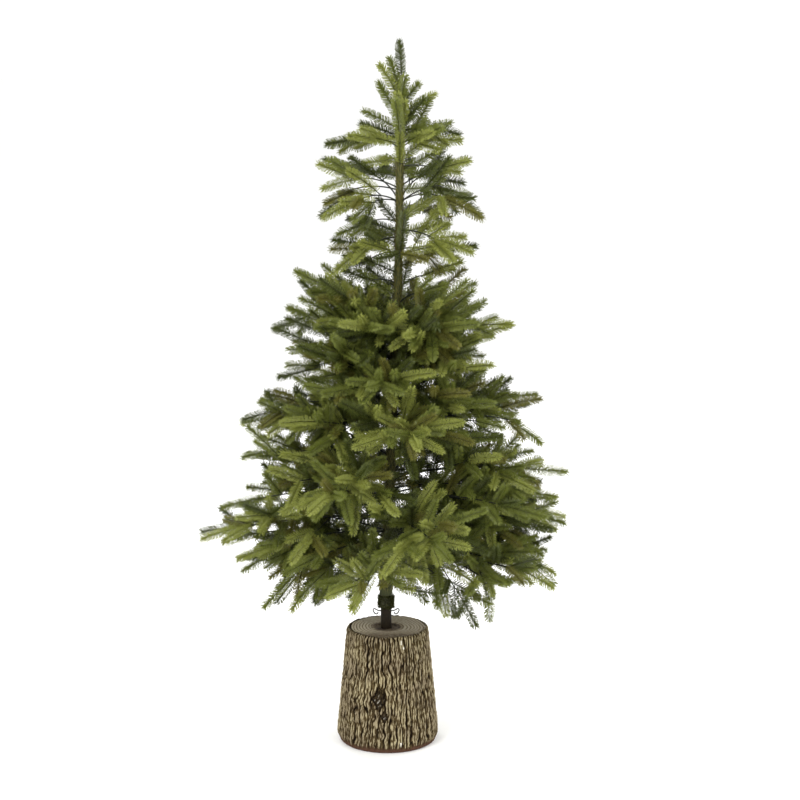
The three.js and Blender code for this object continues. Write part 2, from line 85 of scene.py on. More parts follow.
# Forks beside a limb: share of the way along its leafy stretch, side, lift above the limb's plane, angle to
# the limb, twig length as a share of that stretch, and the fork's sprays
FULL = [
    (0.62, 1, 26, 52, 0.3, THREE_SPRAYS), (0.62, -1, -14, 52, 0.3, THREE_SPRAYS),
    (0.16, 1, -12, 52, 0.5, TWO_SPRAYS), (0.16, -1, 28, 52, 0.5, TWO_SPRAYS),
    (0.3, 1, 82, 50, 0.16, TWO_SPRAYS), (0.36, 1, -80, 56, 0.12, ONE_SPRAY),
]
HANGING = [
    (0.62, 1, 16, 52, 0.3, THREE_SPRAYS), (0.62, -1, -24, 52, 0.3, THREE_SPRAYS),
    (0.16, 1, -40, 52, 0.5, TWO_SPRAYS), (0.16, -1, -46, 52, 0.5, TWO_SPRAYS),
    (0.66, 1, -82, 46, 0.14, THREE_SPRAYS), (0.3, 1, 82, 50, 0.16, ONE_SPRAY),
]
SHORT = [
    (0.6, 1, 22, 52, 0.3, THREE_SPRAYS), (0.6, -1, -10, 52, 0.3, THREE_SPRAYS),
    (0.28, -1, 38, 56, 0.36, TWO_SPRAYS), (0.46, 1, -84, 44, 0.12, ONE_SPRAY),
]
OPEN = [
    (0.6, 1, 12, 64, 0.1, ONE_SPRAY), (0.6, -1, 8, 64, 0.1, ONE_SPRAY), (0.5, 1, 88, 36, 0.1, ONE_SPRAY),
]

# Tiers from the lowest up: height on the pole, arch of a limb, share of a limb that is bare, size of the
# sprays, side forks, and for each bough its azimuth, its reach to the outermost tip and that tip's height
TIERS = [
    (494, 16, 0.3, 1, HANGING, [(-20, 466, 470), (78, 432, 440), (168, 408, 470), (258, 410, 470)]),
    (592, 16, 0.3, 1, FULL, [(20, 508, 562), (112, 440, 590), (191, 490, 568), (290, 450, 596)]),
    (700, 16, 0.3, 1, FULL, [(-5, 457, 722), (70, 430, 740), (161, 404, 728), (242, 430, 706)]),
    (812, 18, 0.3, 1, FULL, [(13, 390, 903), (106, 385, 880), (186, 388, 862), (281, 385, 860)]),
    (925, 20, 0, 1, SHORT,
     [(-8, 300, 1112), (62, 300, 1060), (140, 300, 1050), (196, 318, 1098), (258, 306, 985)]),
    (1036, 20, 0, 1, SHORT,
     [(28, 236, 1194), (100, 256, 1180), (166, 264, 1222), (238, 264, 1140), (316, 284, 1130)]),
    (1256, 54, 0, 0.88, OPEN, [(2, 200, 1286), (172, 172, 1304), (275, 166, 1270)]),
    (1400, 54, 0, 0.88, OPEN, [(16, 188, 1508), (-28, 234, 1380), (160, 212, 1500), (206, 218, 1374)]),
    (1530, 54, 0, 0.88, OPEN, [(4, 158, 1560), (177, 184, 1550), (268, 156, 1550)]),
]
SPRAY_LENGTH = 132
LEAST_LIMB = 44
END_TWIG = 4
END_ROLL = 20
TWIG_SINK = 6
STRAY = {"place": 0.04, "lift": 9, "angle": 6, "length": 8, "roll": 14}
TRIES = 6
POLE_ROOM = 26
LEAST_TWIG = 14
SIDE_SIZE = 0.96
BOUGH_RADIUS = (4.6, 3.4)
TAPE_RISE = 0.15
STEM_RADIUS = (3.4, 1.7)
OPEN_RADIUS = (2.1, 1.4)
TWIG_RADIUS = 1.5
RIB_RADIUS = 1.25

# Finer shoots that fill in a fork: angle, share of the full length, how far back, and lift out of its plane
FINER_SHOOTS = [(58, 0.68, 30, 22), (-58, 0.68, 38, 22), (20, 0.6, 20, 62), (-34, 0.66, 14, -58)]
# Shoots straight from a limb: one pair at each step along its leafy stretch, up to a little before its end.
# Lift, angle to the limb and share of a full spray, each as the least and the range above it.
SHOOT_STEP = 35
SHOOT_END = 20
SHOOT_LIFT = (-56, 140)
SHOOT_ANGLE = (44, 34)
SHOOT_SIZE = (0.6, 0.24)
# Thinner limbs between the boughs, given by where their tips seem to be from the front, at the depth of the
# pole: sideways place and height. Then how far behind the pole the tip really is and, where it isn't the
# usual one, the limb's arch.
TIPS = [
    (-237, 1236, -70), (-169, 1251, 70), (-182, 1213, -150), (-228, 1212, 30, -16), (-150, 1180, -90, -10),
    (-190, 1136, 160), (-214, 1030, -140), (-266, 1104, -30, 40), (189, 1252, 60, 0), (224, 1184, -50, 10),
    (-250, 1140, 90), (250, 1160, 80), (226, 1110, -120), (268, 1067, 130), (209, 1210, -120),
    (-235, 1038, -160), (-196, 1000, 170), (-216, 940, -200), (272, 1005, -140), (216, 930, -200),
    (-236, 900, 190), (-330, 897, 120), (-280, 850, -180), (-342, 836, 90, 40), (-290, 776, 190),
    (236, 960, 180), (280, 900, -140), (300, 800, -180), (412, 490, -40, 60), (-222, 1172, -40, 10),
    (270, 800, 200), (-342, 665, -200), (-398, 651, 120), (-436, 622, -90), (-433, 536, 110), (402, 681, 150),
    (442, 644, -120), (434, 636, 60), (430, 552, -30, 30), (400, 528, 60, 40), (466, 580, 60),
    (416, 591, -170), (433, 556, 130), (-401, 487, -100), (-384, 451, 120), (-280, 440, -200),
    (-250, 430, 200), (-320, 445, -40, 30), (-247, 370, -140), (-188, 356, 120), (-89, 344, -60),
    (445, 451, 60), (442, 410, -80), (386, 414, 120), (236, 420, -200), (150, 410, 190), (102, 358, -90),
]
# Height on the pole that a limb starts from, and its usual arch, by the height of its tip
FEET = ((310, 480, 560, 720, 880, 1060, 1250), (470, 505, 600, 690, 790, 925, 1040))
ARCHES = ((310, 420, 460), (66, 50, 20))

# Arms of bare wire, in the open upper stretch and at the crown's edges and hem: the height on the pole that
# the wire leaves from, the place of its fork, and the tips of its sprays, each as sideways place, depth and
# height. The places from the twentieth arm on were measured in the picture and rounded to 5 mm.
ARMS = [
    (1545, (104, 20, 1588), [(184, 40, 1562), (164, 66, 1597), (152, -30, 1550), (98, 96, 1600)]),
    (1490, (122, -30, 1484), [(204, -50, 1514), (172, -80, 1462), (186, 10, 1480)]),
    (1442, (108, 60, 1466), [(150, 90, 1548), (176, 96, 1506), (196, 70, 1440)]),
    (1405, (130, -20, 1444), [(236, -30, 1368), (172, -60, 1376), (206, 24, 1416), (160, 40, 1500)]),
    (1366, (104, 60, 1374), [(166, 120, 1362), (150, 90, 1330), (168, 40, 1410)]),
    (1330, (116, -40, 1314), [(218, -60, 1290), (198, -20, 1322), (166, -100, 1272), (150, 10, 1348)]),
    (1284, (104, 40, 1272), [(188, 70, 1258), (150, 120, 1290), (140, 10, 1226)]),
    (1560, (-64, -10, 1562), [(-156, -20, 1543), (-124, 40, 1528)]),
    (1438, (-84, -30, 1462), [(-172, -50, 1506), (-170, 0, 1444), (-140, -90, 1518)]),
    (1432, (-98, 20, 1428), [(-170, 40, 1356), (-116, 60, 1376), (-164, -10, 1408)]),
    (1404, (-40, -60, 1404), [(-84, -110, 1366), (-58, -100, 1350), (-120, -90, 1420)]),
    (1352, (-40, 40, 1350), [(-131, 60, 1316), (-104, 20, 1356), (-92, 120, 1310)]),
    (1314, (-66, -30, 1284), [(-142, -40, 1298), (-136, -90, 1246), (-110, 30, 1256), (-90, -90, 1262)]),
    (1276, (-56, 60, 1244), [(-130, 100, 1226), (-100, 130, 1250), (-40, 130, 1224)]),
    (1534, (44, 96, 1560), [(50, 184, 1560), (96, 150, 1580), (-20, 170, 1552)]),
    (1452, (10, 100, 1470), [(-10, 190, 1470), (60, 190, 1480)]),
    (1376, (70, 110, 1374), [(110, 190, 1370), (40, 200, 1360), (130, 160, 1410)]),
    (1312, (-10, 104, 1310), [(-50, 190, 1300), (20, 200, 1310), (-90, 150, 1340)]),
    (1190, (90, 30, 1214), [(188, 20, 1262), (172, 70, 1232)]),
    (1195, (-210, 40, 1105), [(-295, 50, 1070), (-255, 70, 1130), (-230, 10, 1065)]),
    (985, (-180, -40, 995), [(-255, -60, 1000), (-230, -10, 1040), (-280, -80, 965)]),
    (800, (-285, -40, 880), [(-370, -60, 860), (-310, -10, 925), (-325, -80, 915), (-325, -90, 855)]),
    (700, (-305, 50, 755), [(-380, 60, 740), (-350, 90, 775)]),
    (1060, (225, -30, 1095), [(315, -50, 1110), (275, -10, 1120), (265, -70, 1080), (230, -80, 1055)]),
    (810, (220, 60, 865), [(320, 60, 950), (295, 90, 955), (315, 20, 920)]),
    (835, (285, 20, 875), [(390, 10, 915), (365, 50, 880)]),
    (825, (305, -60, 860), [(395, -80, 805), (350, -100, 825)]),
    (690, (285, 80, 730), [(340, 90, 800), (290, 110, 790), (335, 60, 740)]),
    (520, (-235, -60, 460), [(-325, -80, 375), (-285, -50, 375), (-240, -90, 400)]),
    (500, (-180, -40, 455), [(-185, -50, 375), (-155, -90, 400)]),
    (520, (255, -60, 440), [(265, -70, 335), (340, -90, 455)]),
    (500, (220, -50, 435), [(180, -60, 340), (230, -80, 395)]),
    (480, (135, -80, 435), [(175, -90, 350), (120, -110, 390)]),
    (560, (-380, 10, 570), [(-485, 10, 545), (-440, 40, 605), (-425, 0, 585)]),
    (600, (320, 60, 485), [(430, 60, 525), (415, 20, 510)]),
    (850, (-220, -10, 895), [(-310, -20, 925), (-285, 10, 935)]),
    (1150, (75, -50, 1180), [(145, -70, 1210), (105, -90, 1225)]),
    (500, (120, -100, 470), [(160, -110, 360), (130, -130, 385)]),
    (640, (335, -40, 605), [(430, -60, 655), (410, -20, 620)]),
    (540, (365, 40, 465), [(450, 20, 445), (440, 60, 395), (385, 30, 405)]),
    (740, (-275, -70, 770), [(-350, -90, 855)]),
    (800, (220, -100, 865), [(295, -120, 850), (285, -90, 815)]),
    (1200, (-40, -40, 1210), [(-115, -50, 1235)]),
]
ARM_SPRAY = 132
ARM_RADIUS = (2.0, 1.4)
# The heights on the pole from which an arm counts with tier 6, 7 and 8
ARM_STEPS = (1180, 1340, 1480)
# How far the sprays that hang at the hem are rolled, so that they show their flat side
HANGING_ROLL = 60
HANGING_BELOW = 700
HANGING_WAY = -0.5

# Thin limbs: wire radius at both ends, size of the sprays, roll of the end fork and stray of the foot's
# height
THIN_RADIUS = (2.6, 1.4)
THIN_SIZE = 0.9
THIN_ROLL = 36
FOOT_STRAY = 24
# Hem of the crown: the lowest that a tip may seem from the front, as sideways place and height
HEM = [
    (-470, 534), (-400, 474), (-386, 438), (-372, 428), (-360, 415), (-352, 325), (-272, 340), (-232, 360),
    (-178, 350), (-158, 366), (-145, 404), (-129, 426), (-107, 440), (-97, 335), (-77, 330), (-62, 399),
    (-38, 412), (19, 418), (56, 399), (90, 350), (120, 340), (150, 300), (190, 300), (200, 385), (230, 377),
    (240, 290), (284, 290), (292, 370), (307, 404), (388, 420), (434, 396), (446, 408), (454, 561),
]
# Places in the crown that stay open, with the sky or bare wires in them, as they seem from the front:
# sideways place, height, half width and half height
OPENINGS = [
    (-66, 1656, 16, 16), (58, 1563, 17, 16), (-24, 1534, 38, 12), (-13, 1433, 30, 26), (75, 1448, 34, 13),
    (-4, 1350, 20, 14), (85, 1315, 30, 20), (86, 1234, 22, 18), (97, 1637, 20, 16), (176, 1463, 20, 18),
    (-182, 1066, 30, 20), (-262, 1052, 20, 12), (346, 778, 16, 16), (241, 1039, 21, 22), (-337, 653, 20, 15),
]

# Leader: the stem round the pole's tip and its sprays' height, azimuth, pitch and length from the top down
LEADER_STEM = [(1588, 7), (1694, 5.6), (1712, 3)]
LEADER_WALL = 5.6
LEADER_SPRAYS = [
    (1703, 180, 86, 100), (1674, 176, 73, 92), (1652, 186, 67, 108), (1642, 8, 54, 70), (1652, 278, 52, 80),
    (1650, 96, 56, 84), (1616, 4, 39, 102), (1598, 336, 41, 92), (1604, 178, 62, 112), (1622, 88, 34, 92),
    (1582, 172, 28, 106), (1606, 262, 58, 84), (1580, 354, 2, 110), (1566, 190, 17, 106), (1592, 284, 50, 84),
    (1590, 72, 16, 100),
]
# Sprays that stand straight on the open upper stretch of the pole: height, azimuth, pitch and length
POLE_SHOOTS = [
    (1180, 350, 76, 100), (1190, 170, 30, 90), (1168, 196, 36, 120), (1205, 350, 24, 118),
    (1226, 200, 24, 100), (1242, 340, 30, 96), (1262, 92, 34, 100), (1290, 20, 26, 92), (1300, 172, 24, 96),
    (1326, 4, 15, 126), (1330, 186, 16, 96), (1340, 75, 34, 92), (1352, 184, 50, 80), (1362, 6, 36, 106),
    (1434, 4, 2, 98), (1458, 187, -9, 78), (1460, 95, 34, 90), (1466, 178, 10, 108), (1472, -4, 5, 100),
    (1482, 8, 28, 100), (1498, 268, 74, 84), (1510, 184, -6, 104), (1513, 6, 38, 82), (1540, 80, 40, 88),
    (1550, 178, -6, 84),
]

# Height bands that the needles are joined in, so that every piece stays small
BANDS = {"lower": (0, 1), "middle": (2, 3), "upper": (4, 5), "top": (6, 7, 8, 9)}
TINTS = ("light", "fresh", "deep_and_painted_shade", "olive")
MOST_FACES = 195000


def linear(code):
    """An sRGB hex colour as linear red, green, blue and alpha."""
    parts = [int(code[i : i + 2], 16) / 255 for i in (1, 3, 5)]
    return [c / 12.92 if c <= 0.04045 else ((c + 0.055) / 1.055) ** 2.4 for c in parts] + [1.0]


def smooth(low, high, x):
    """0 below low, 1 above high, and an even S between them."""
    share = min(1.0, max(0.0, (x - low) / (high - low)))
    return share * share * (3 - 2 * share)


def colour(name, description, code):
    return FloatVectorProperty(name=name, description=description, default=linear(code), subtype="COLOR",
                               size=4, min=0, max=1)


def length(name, description, millimetres):
    return FloatProperty(name=name, description=description, default=millimetres * MM, min=0, unit="LENGTH")


class LogStandSettings(PropertyGroup):
    height: length("Height", "Height of the log stand", 302)
    foot_radius: length("Foot radius", "Radius of the flat underside", 118)
    swell_radius: length("Swell radius", "Radius at the widest place just above the foot", 129)
    swell_height: length("Swell height", "Height of the widest place", 26)
    top_radius: length("Top radius", "Radius at the sawn top", 103)
    bark_depth: length("Bark depth", "Depth from ridge to furrow", 4.9)
    ring_width: length("Ring width", "Distance between growth rings on the sawn top", 8)
    # The furrow colour is near black: partly stain, partly painted shade in the furrows.
    furrow: colour("Furrow", "Stain left in the bark's furrows", "#0e0802")
    bark: colour("Bark", "Middle tone of the bark", "#4d422d")
    ridge: colour("Ridge", "Dry-brushed tone on the ridges", "#9e9782")
    foot: colour("Foot", "Bare resin round the foot", "#553c2f")
    sawn: colour("Sawn top", "Middle tone of the sawn top", "#b5aa94")


class PoleSettings(PropertyGroup):
    needle_count: IntProperty(name="Needles", description="Short needles wrapped round the pole",
                              default=3600, min=0)
    needle_length: length("Needle length", "Length of a needle on the pole", 15)
    steel: colour("Brown steel", "Painted socket and pole", "#251d11")
    zinc: colour("Zinc wire", "Thumb screws", "#4b4944")
    tape: colour("Green tape", "Tape wound on the pole and its sleeve", "#3e421b")
    tinsel: colour("Tinsel", "Cuff at the foot of the pole", "#393b19")
    wrap: colour("Pole needles", "Olive-brown needles on the pole", "#5e5a2c")


class SpraySettings(PropertyGroup):
    needle_length: length("Needle length", "Longest needles, in the middle of a spray", 18)
    needle_width: length("Needle width", "Width of a needle's blunt tip", 2.2)
    needle_thickness: length("Needle thickness", "Height of a needle at its root", 2.4)
    needles_per_spray: IntProperty(name="Needles per spray", description="Needles on a full-length spray",
                                   default=164, min=6)
    # The light and deep tints are partly the sprays' own mixed greens and partly painted light: light as
    # painted highlight on outer, front and top sprays, deep as painted shade on inner and back ones.
    light: colour("Light", "Young outer sprays", "#858b42")
    fresh: colour("Fresh", "Most of the sprays", "#697130")
    deep_and_painted_shade: colour("Deep", "Shaded inner sprays", "#464e1e")
    olive: colour("Olive", "Sprays of a browner olive", "#66652a")
    rib: colour("Rib", "Ribs of the sprays", "#35371c")
    wire: colour("Wire", "Bare coated wires", "#1c2016")


class StudioSettings(PropertyGroup):
    camera_distance: length("Camera distance", "How far the camera stands in front", VIEW_DISTANCE)
    camera_height: length("Camera height", "Height of the camera", VIEW_HEIGHT)
    aim_height: length("Aim height", "Height that the camera looks at", 899.2)
    lens: FloatProperty(name="Lens", description="Focal length in millimetres", default=90.2, min=1)
    key: FloatProperty(name="Key light", description="Power of the large front light in watts", default=150,
                       min=0)
    fill: FloatProperty(name="Fill light", description="Power of each side light in watts", default=60, min=0)
    sky: FloatProperty(name="Sky", description="Strength of the even light all round", default=1.12, min=0)
    floor: colour("Floor", "Pale floor", "#f4f4f2")


def add(tree, kind, settings=None, **links):
    """Adds one node. settings go to its properties and sockets, and links to sockets by name or number."""
    node = tree.nodes.new(kind)
    for key, value in (settings or {}).items():
        if isinstance(key, str) and hasattr(node, key):
            setattr(node, key, value)
        else:
            node.inputs[key].default_value = value
    for key, source in links.items():
        socket = node.inputs[int(key[1:])] if key[0] == "i" and key[1:].isdigit() else node.inputs[key]
        tree.links.new(source, socket)
    return node


def stops(ramp, *places):
    """Sets a colour ramp's stops from (place, colour) pairs."""
    elements = ramp.color_ramp.elements
    for i, (place, tone) in enumerate(places):
        element = elements[i] if i < len(elements) else elements.new(place)
        element.position = place
        element.color = tone


def feed(shader, name, node, output=0):
    """Links a node's output to one of the shader's sockets."""
    shader.id_data.links.new(node.outputs[output], shader.inputs[name])


def finish(name):
    """A new material with its shader, ready for nodes."""
    material = bpy.data.materials.new(name)
    material.use_nodes = True
    return material, material.node_tree, material.node_tree.nodes["Principled BSDF"]


def ray(tone, share):
    """A colour made darker or lighter by a share."""
    return [min(1.0, c * share) for c in tone[:3]] + [1.0]


def piece(name, mesh, materials, nodes=()):
    """Puts a finished mesh in the scene as one piece of the tree."""
    obj = bpy.data.objects.new(name, mesh)
    bpy.context.scene.collection.objects.link(obj)
    for material in materials:
        mesh.materials.append(material)
    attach(obj, "root")
    if nodes:
        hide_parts(*nodes)
    return obj


def from_bmesh(name, bm, is_smooth=True):
    """Closes a bmesh's seams, turns its faces outwards and makes it a mesh."""
    bmesh.ops.remove_doubles(bm, verts=bm.verts, dist=1e-6)
    bmesh.ops.recalc_face_normals(bm, faces=bm.faces)
    for face in bm.faces:
        face.smooth = is_smooth
    mesh = bpy.data.meshes.new(name)
    bm.to_mesh(mesh)
    bm.free()
    return mesh


def turned(profile, steps, is_closed=False):
    """Spins a profile of (radius, height) pairs in millimetres round the upright axis."""
    bm = bmesh.new()
    verts = [bm.verts.new((r * MM, 0, z * MM)) for r, z in profile]
    pairs = list(zip(verts, verts[1:])) + ([(verts[-1], verts[0])] if is_closed else [])
    edges = [bm.edges.new(pair) for pair in pairs]
    bmesh.ops.spin(bm, geom=verts + edges, cent=(0, 0, 0), axis=(0, 0, 1), dvec=(0, 0, 0), angle=math.tau,
                   steps=steps, use_merge=True, use_duplicate=False)
    bmesh.ops.remove_doubles(bm, verts=bm.verts, dist=1e-6)
    return bm


def pole_at(z):
    """Sideways offset and radius of the pole at a height."""
    i = 1
    while i < len(POLE) - 1 and POLE[i][0] < z:
        i += 1
    (z0, x0, r0), (z1, x1, r1) = POLE[i - 1], POLE[i]
    share = (z - z0) / (z1 - z0)
    return x0 + share * (x1 - x0), r0 + share * (r1 - r0)


def bar_mesh(name, routes, roundness=1):
    """Round tapered bars along routes of (place, radius) in millimetres, joined, with closed ends."""
    curve = bpy.data.curves.new(name, "CURVE")
    curve.dimensions = "3D"
    curve.bevel_depth = MM
    curve.bevel_resolution = roundness
    curve.use_fill_caps = True
    for route in routes:
        spline = curve.splines.new("POLY")
        spline.points.add(len(route) - 1)
        for point, (place, radius) in zip(spline.points, route):
            point.co = (*(place * MM), 1)
            point.radius = radius
    holder = bpy.data.objects.new(name, curve)
    bpy.context.scene.collection.objects.link(holder)
    mesh = bpy.data.meshes.new_from_object(holder, depsgraph=bpy.context.evaluated_depsgraph_get())
    bpy.data.objects.remove(holder)
    bpy.data.curves.remove(curve)
    mesh.name = name
    bm = bmesh.new()
    bm.from_mesh(mesh)
    bmesh.ops.remove_doubles(bm, verts=bm.verts, dist=1e-7)
    bmesh.ops.recalc_face_normals(bm, faces=bm.faces)
    for face in bm.faces:
        face.smooth = len(face.verts) == 4
    bm.to_mesh(mesh)
    bm.free()
    return mesh


# The rule that the tree grows by


def seeded(seed):
    """A seeded run of numbers from 0 to 1, the same in every run."""
    state = (seed * 2654435761 + 1013904223) % 4294967296

    def draw():
        nonlocal state
        state = (state * 1664525 + 1013904223) % 4294967296
        return state / 4294967296

    return draw


class Limb:
    """A limb's centre line in the upright plane of its azimuth. Its pitch changes evenly along its length."""

    def __init__(self, height, azimuth, reach, start, end):
        turn = math.radians(azimuth)
        self.out = Vector((math.cos(turn), math.sin(turn), 0))
        self.side = Vector((-self.out.y, self.out.x, 0))
        self.foot = Vector((pole_at(height)[0], 0, height))
        self.start = math.radians(start)
        self.bend = math.radians(end - start) / reach
        self.length = reach

    def turned_by(self, angle):
        return self.out * math.cos(angle) + UP * math.sin(angle)

    def along(self, s):
        return self.turned_by(self.start + self.bend * s)

    def over(self, s):
        return self.turned_by(self.start + self.bend * s + math.pi / 2)

    def point(self, s):
        pitch = self.start + self.bend * s
        far = (math.sin(pitch) - math.sin(self.start)) / self.bend
        high = (math.cos(self.start) - math.cos(pitch)) / self.bend
        return self.foot + self.out * far + UP * high


def limb_to(tier, azimuth, reach, tip_height):
    """The limb whose end spray just reaches a tip."""
    height, arch, _, size, _, _ = tier
    half = math.radians(arch / 2)
    spray = size * SPRAY_LENGTH + END_TWIG
    rise = tip_height - height
    offset, onward = spray * math.sin(half), spray * math.cos(half)
    chord = max(LEAST_LIMB, math.sqrt(reach**2 + rise**2 - offset**2) - onward)
    pitch = math.degrees(math.atan2(rise, reach) + math.atan2(offset, chord + onward))
    return Limb(height, azimuth, chord * half / math.sin(half), pitch + arch / 2, pitch - arch / 2)


def normal_for(forward, over, roll):
    """The upward normal of a fork that points forward, rolled about that direction."""
    normal = (over - forward * over.dot(forward)).normalized()
    return Quaternion(forward, math.radians(roll)) @ normal


def forks_of(limb, tier, draw):
    """Every fork of one limb as (foot, centre, forward, normal, size, sprays)."""
    _, _, bare, size, side, _ = tier
    span = limb.length * (1 - bare)
    first = limb.length - span
    forward = limb.along(limb.length)
    normal = normal_for(forward, limb.over(limb.length), (draw() * 2 - 1) * END_ROLL)
    forks = [(limb.point(limb.length - TWIG_SINK), limb.point(limb.length + END_TWIG), forward, normal, size,
              THREE_SPRAYS)]
    for share, hand, lift, angle, reach, fan in side:
        chosen = None
        for k in range(TRIES):
            jitter = [(draw() * 2 - 1) * STRAY[key] * (1 + k / 2) for key in STRAY]
            chosen = chosen or jitter
        place, more_lift, more_angle, more_length, roll = chosen
        s = min(limb.length - 2 * TWIG_SINK, max(POLE_ROOM, first + span * share + place * span))
        lifted, turn = math.radians(lift + more_lift), math.radians(angle + more_angle)
        aside = limb.side * hand * math.cos(lifted) + limb.over(s) * math.sin(lifted)
        forward = (limb.along(s) * math.cos(turn) + aside * math.sin(turn)).normalized()
        foot = limb.point(s)
        centre = foot + forward * max(LEAST_TWIG, reach * span + more_length)
        forks.append((foot, centre, forward, normal_for(forward, limb.over(s), roll), size * SIDE_SIZE, fan))
    return forks


def shoots_along(limb, tier, first, size, draw):
    """Sprays in pairs straight from a limb, at every lift from hanging to upright."""
    shoots = []
    s = first
    while s < limb.length - SHOOT_END:
        for hand in (1, -1):
            lift = math.radians(SHOOT_LIFT[0] + SHOOT_LIFT[1] * draw())
            turn = math.radians(SHOOT_ANGLE[0] + SHOOT_ANGLE[1] * draw())
            aside = limb.side * hand * math.cos(lift) + limb.over(s) * math.sin(lift)
            way = limb.along(s) * math.cos(turn) + aside * math.sin(turn)
            share = (SHOOT_SIZE[0] + SHOOT_SIZE[1] * draw()) * size
            age = 1.05 - s / limb.length
            normal = normal_for(way, limb.over(s), 0)
            shoots.append((tier, limb.point(s), way, normal, SPRAY_LENGTH * share, age))
        s += SHOOT_STEP * (0.85 + 0.3 * draw())
    return shoots


def tier_at(height):
    """The tier that a thin limb or arm at a height on the pole counts with."""
    return max(t for t, row in enumerate(TIERS) if row[0] < height + 30 or t == 0)


def arm(height, fork, tips):
    """An open arm: the route of its wire, which rises before it flattens, and its sprays."""
    x, r = pole_at(height)
    foot = Vector((x, 0, height)) + (fork - Vector((x, 0, fork.z))).normalized() * (r - 2)
    crest = foot.lerp(fork, 0.5) + UP * 0.16 * (fork - foot).length
    thick, thin = ARM_RADIUS
    shares = [i / 8 for i in range(9)]
    route = [(foot.lerp(crest, t).lerp(crest.lerp(fork, t), t), thick - (thick - thin) * t) for t in shares]
    steps = sum(height >= step for step in ARM_STEPS)
    tier = len(TIERS) - 1 - len(ARM_STEPS) + steps if steps else tier_at(height)
    hangs = height < HANGING_BELOW
    shoots = []
    for i, tip in enumerate(tips):
        back = min(8 * i, 20)
        root = fork + (foot - fork).normalized() * back
        run = Vector(tip) - root
        way = run.normalized()
        roll = 25 * (i - 1) + (HANGING_ROLL if hangs and way.z < HANGING_WAY else 0)
        shoots.append((tier, root, way, normal_for(way, UP, roll), min(ARM_SPRAY, run.length), 0.2))
    return route, shoots


def spray_on_pole(tier, z, azimuth, pitch, reach, wall):
    """A spray that stands straight on the pole or on the leader's stem."""
    turn, lift = math.radians(azimuth), math.radians(pitch)
    out = Vector((math.cos(turn), math.sin(turn), 0))
    way = out * math.cos(lift) + UP * math.sin(lift)
    over = out * -math.sin(lift) + UP * math.cos(lift)
    return tier, Vector((pole_at(z)[0], 0, z)) + out * wall, way, over, reach, 0.3


def thin_limb(seen, draw):
    """A thin limb for a tip given by where it seems to be, and its tier."""
    across, high, behind = seen[:3]
    further = 1 + behind / VIEW_DISTANCE
    tip = Vector((VIEW_ACROSS + (across - VIEW_ACROSS) * further, behind,
                  VIEW_HEIGHT + (high - VIEW_HEIGHT) * further))
    foot = float(np.interp(tip.z, *FEET)) + FOOT_STRAY * (draw() - 0.5)
    arch = seen[3] if len(seen) > 3 else float(np.interp(tip.z, *ARCHES))
    flat = Vector((tip.x - pole_at(foot)[0], tip.y))
    azimuth = math.degrees(math.atan2(flat.y, flat.x))
    limb = limb_to((foot, arch or 1, 0, THIN_SIZE, None, None), azimuth, flat.length, tip.z)
    return limb, tier_at(foot)


def wire_route(limb, first, thick, thin, steps=9):
    """A wire from a place on a limb to the limb's end, with evenly falling radius."""
    return [(limb.point(first + (limb.length - first) * i / steps), thick + (thin - thick) * i / steps)
            for i in range(steps + 1)]


def bough_route(limb, first, last, steps=14):
    """The bare stretch of a bough, with the small rises of its wound tape."""
    thick, thin = BOUGH_RADIUS
    route = []
    for i in range(steps + 1):
        radius = thick + (thin - thick) * i / steps + TAPE_RISE * (i % 2)
        route.append((limb.point(first + (last - first) * i / steps), radius))
    return route


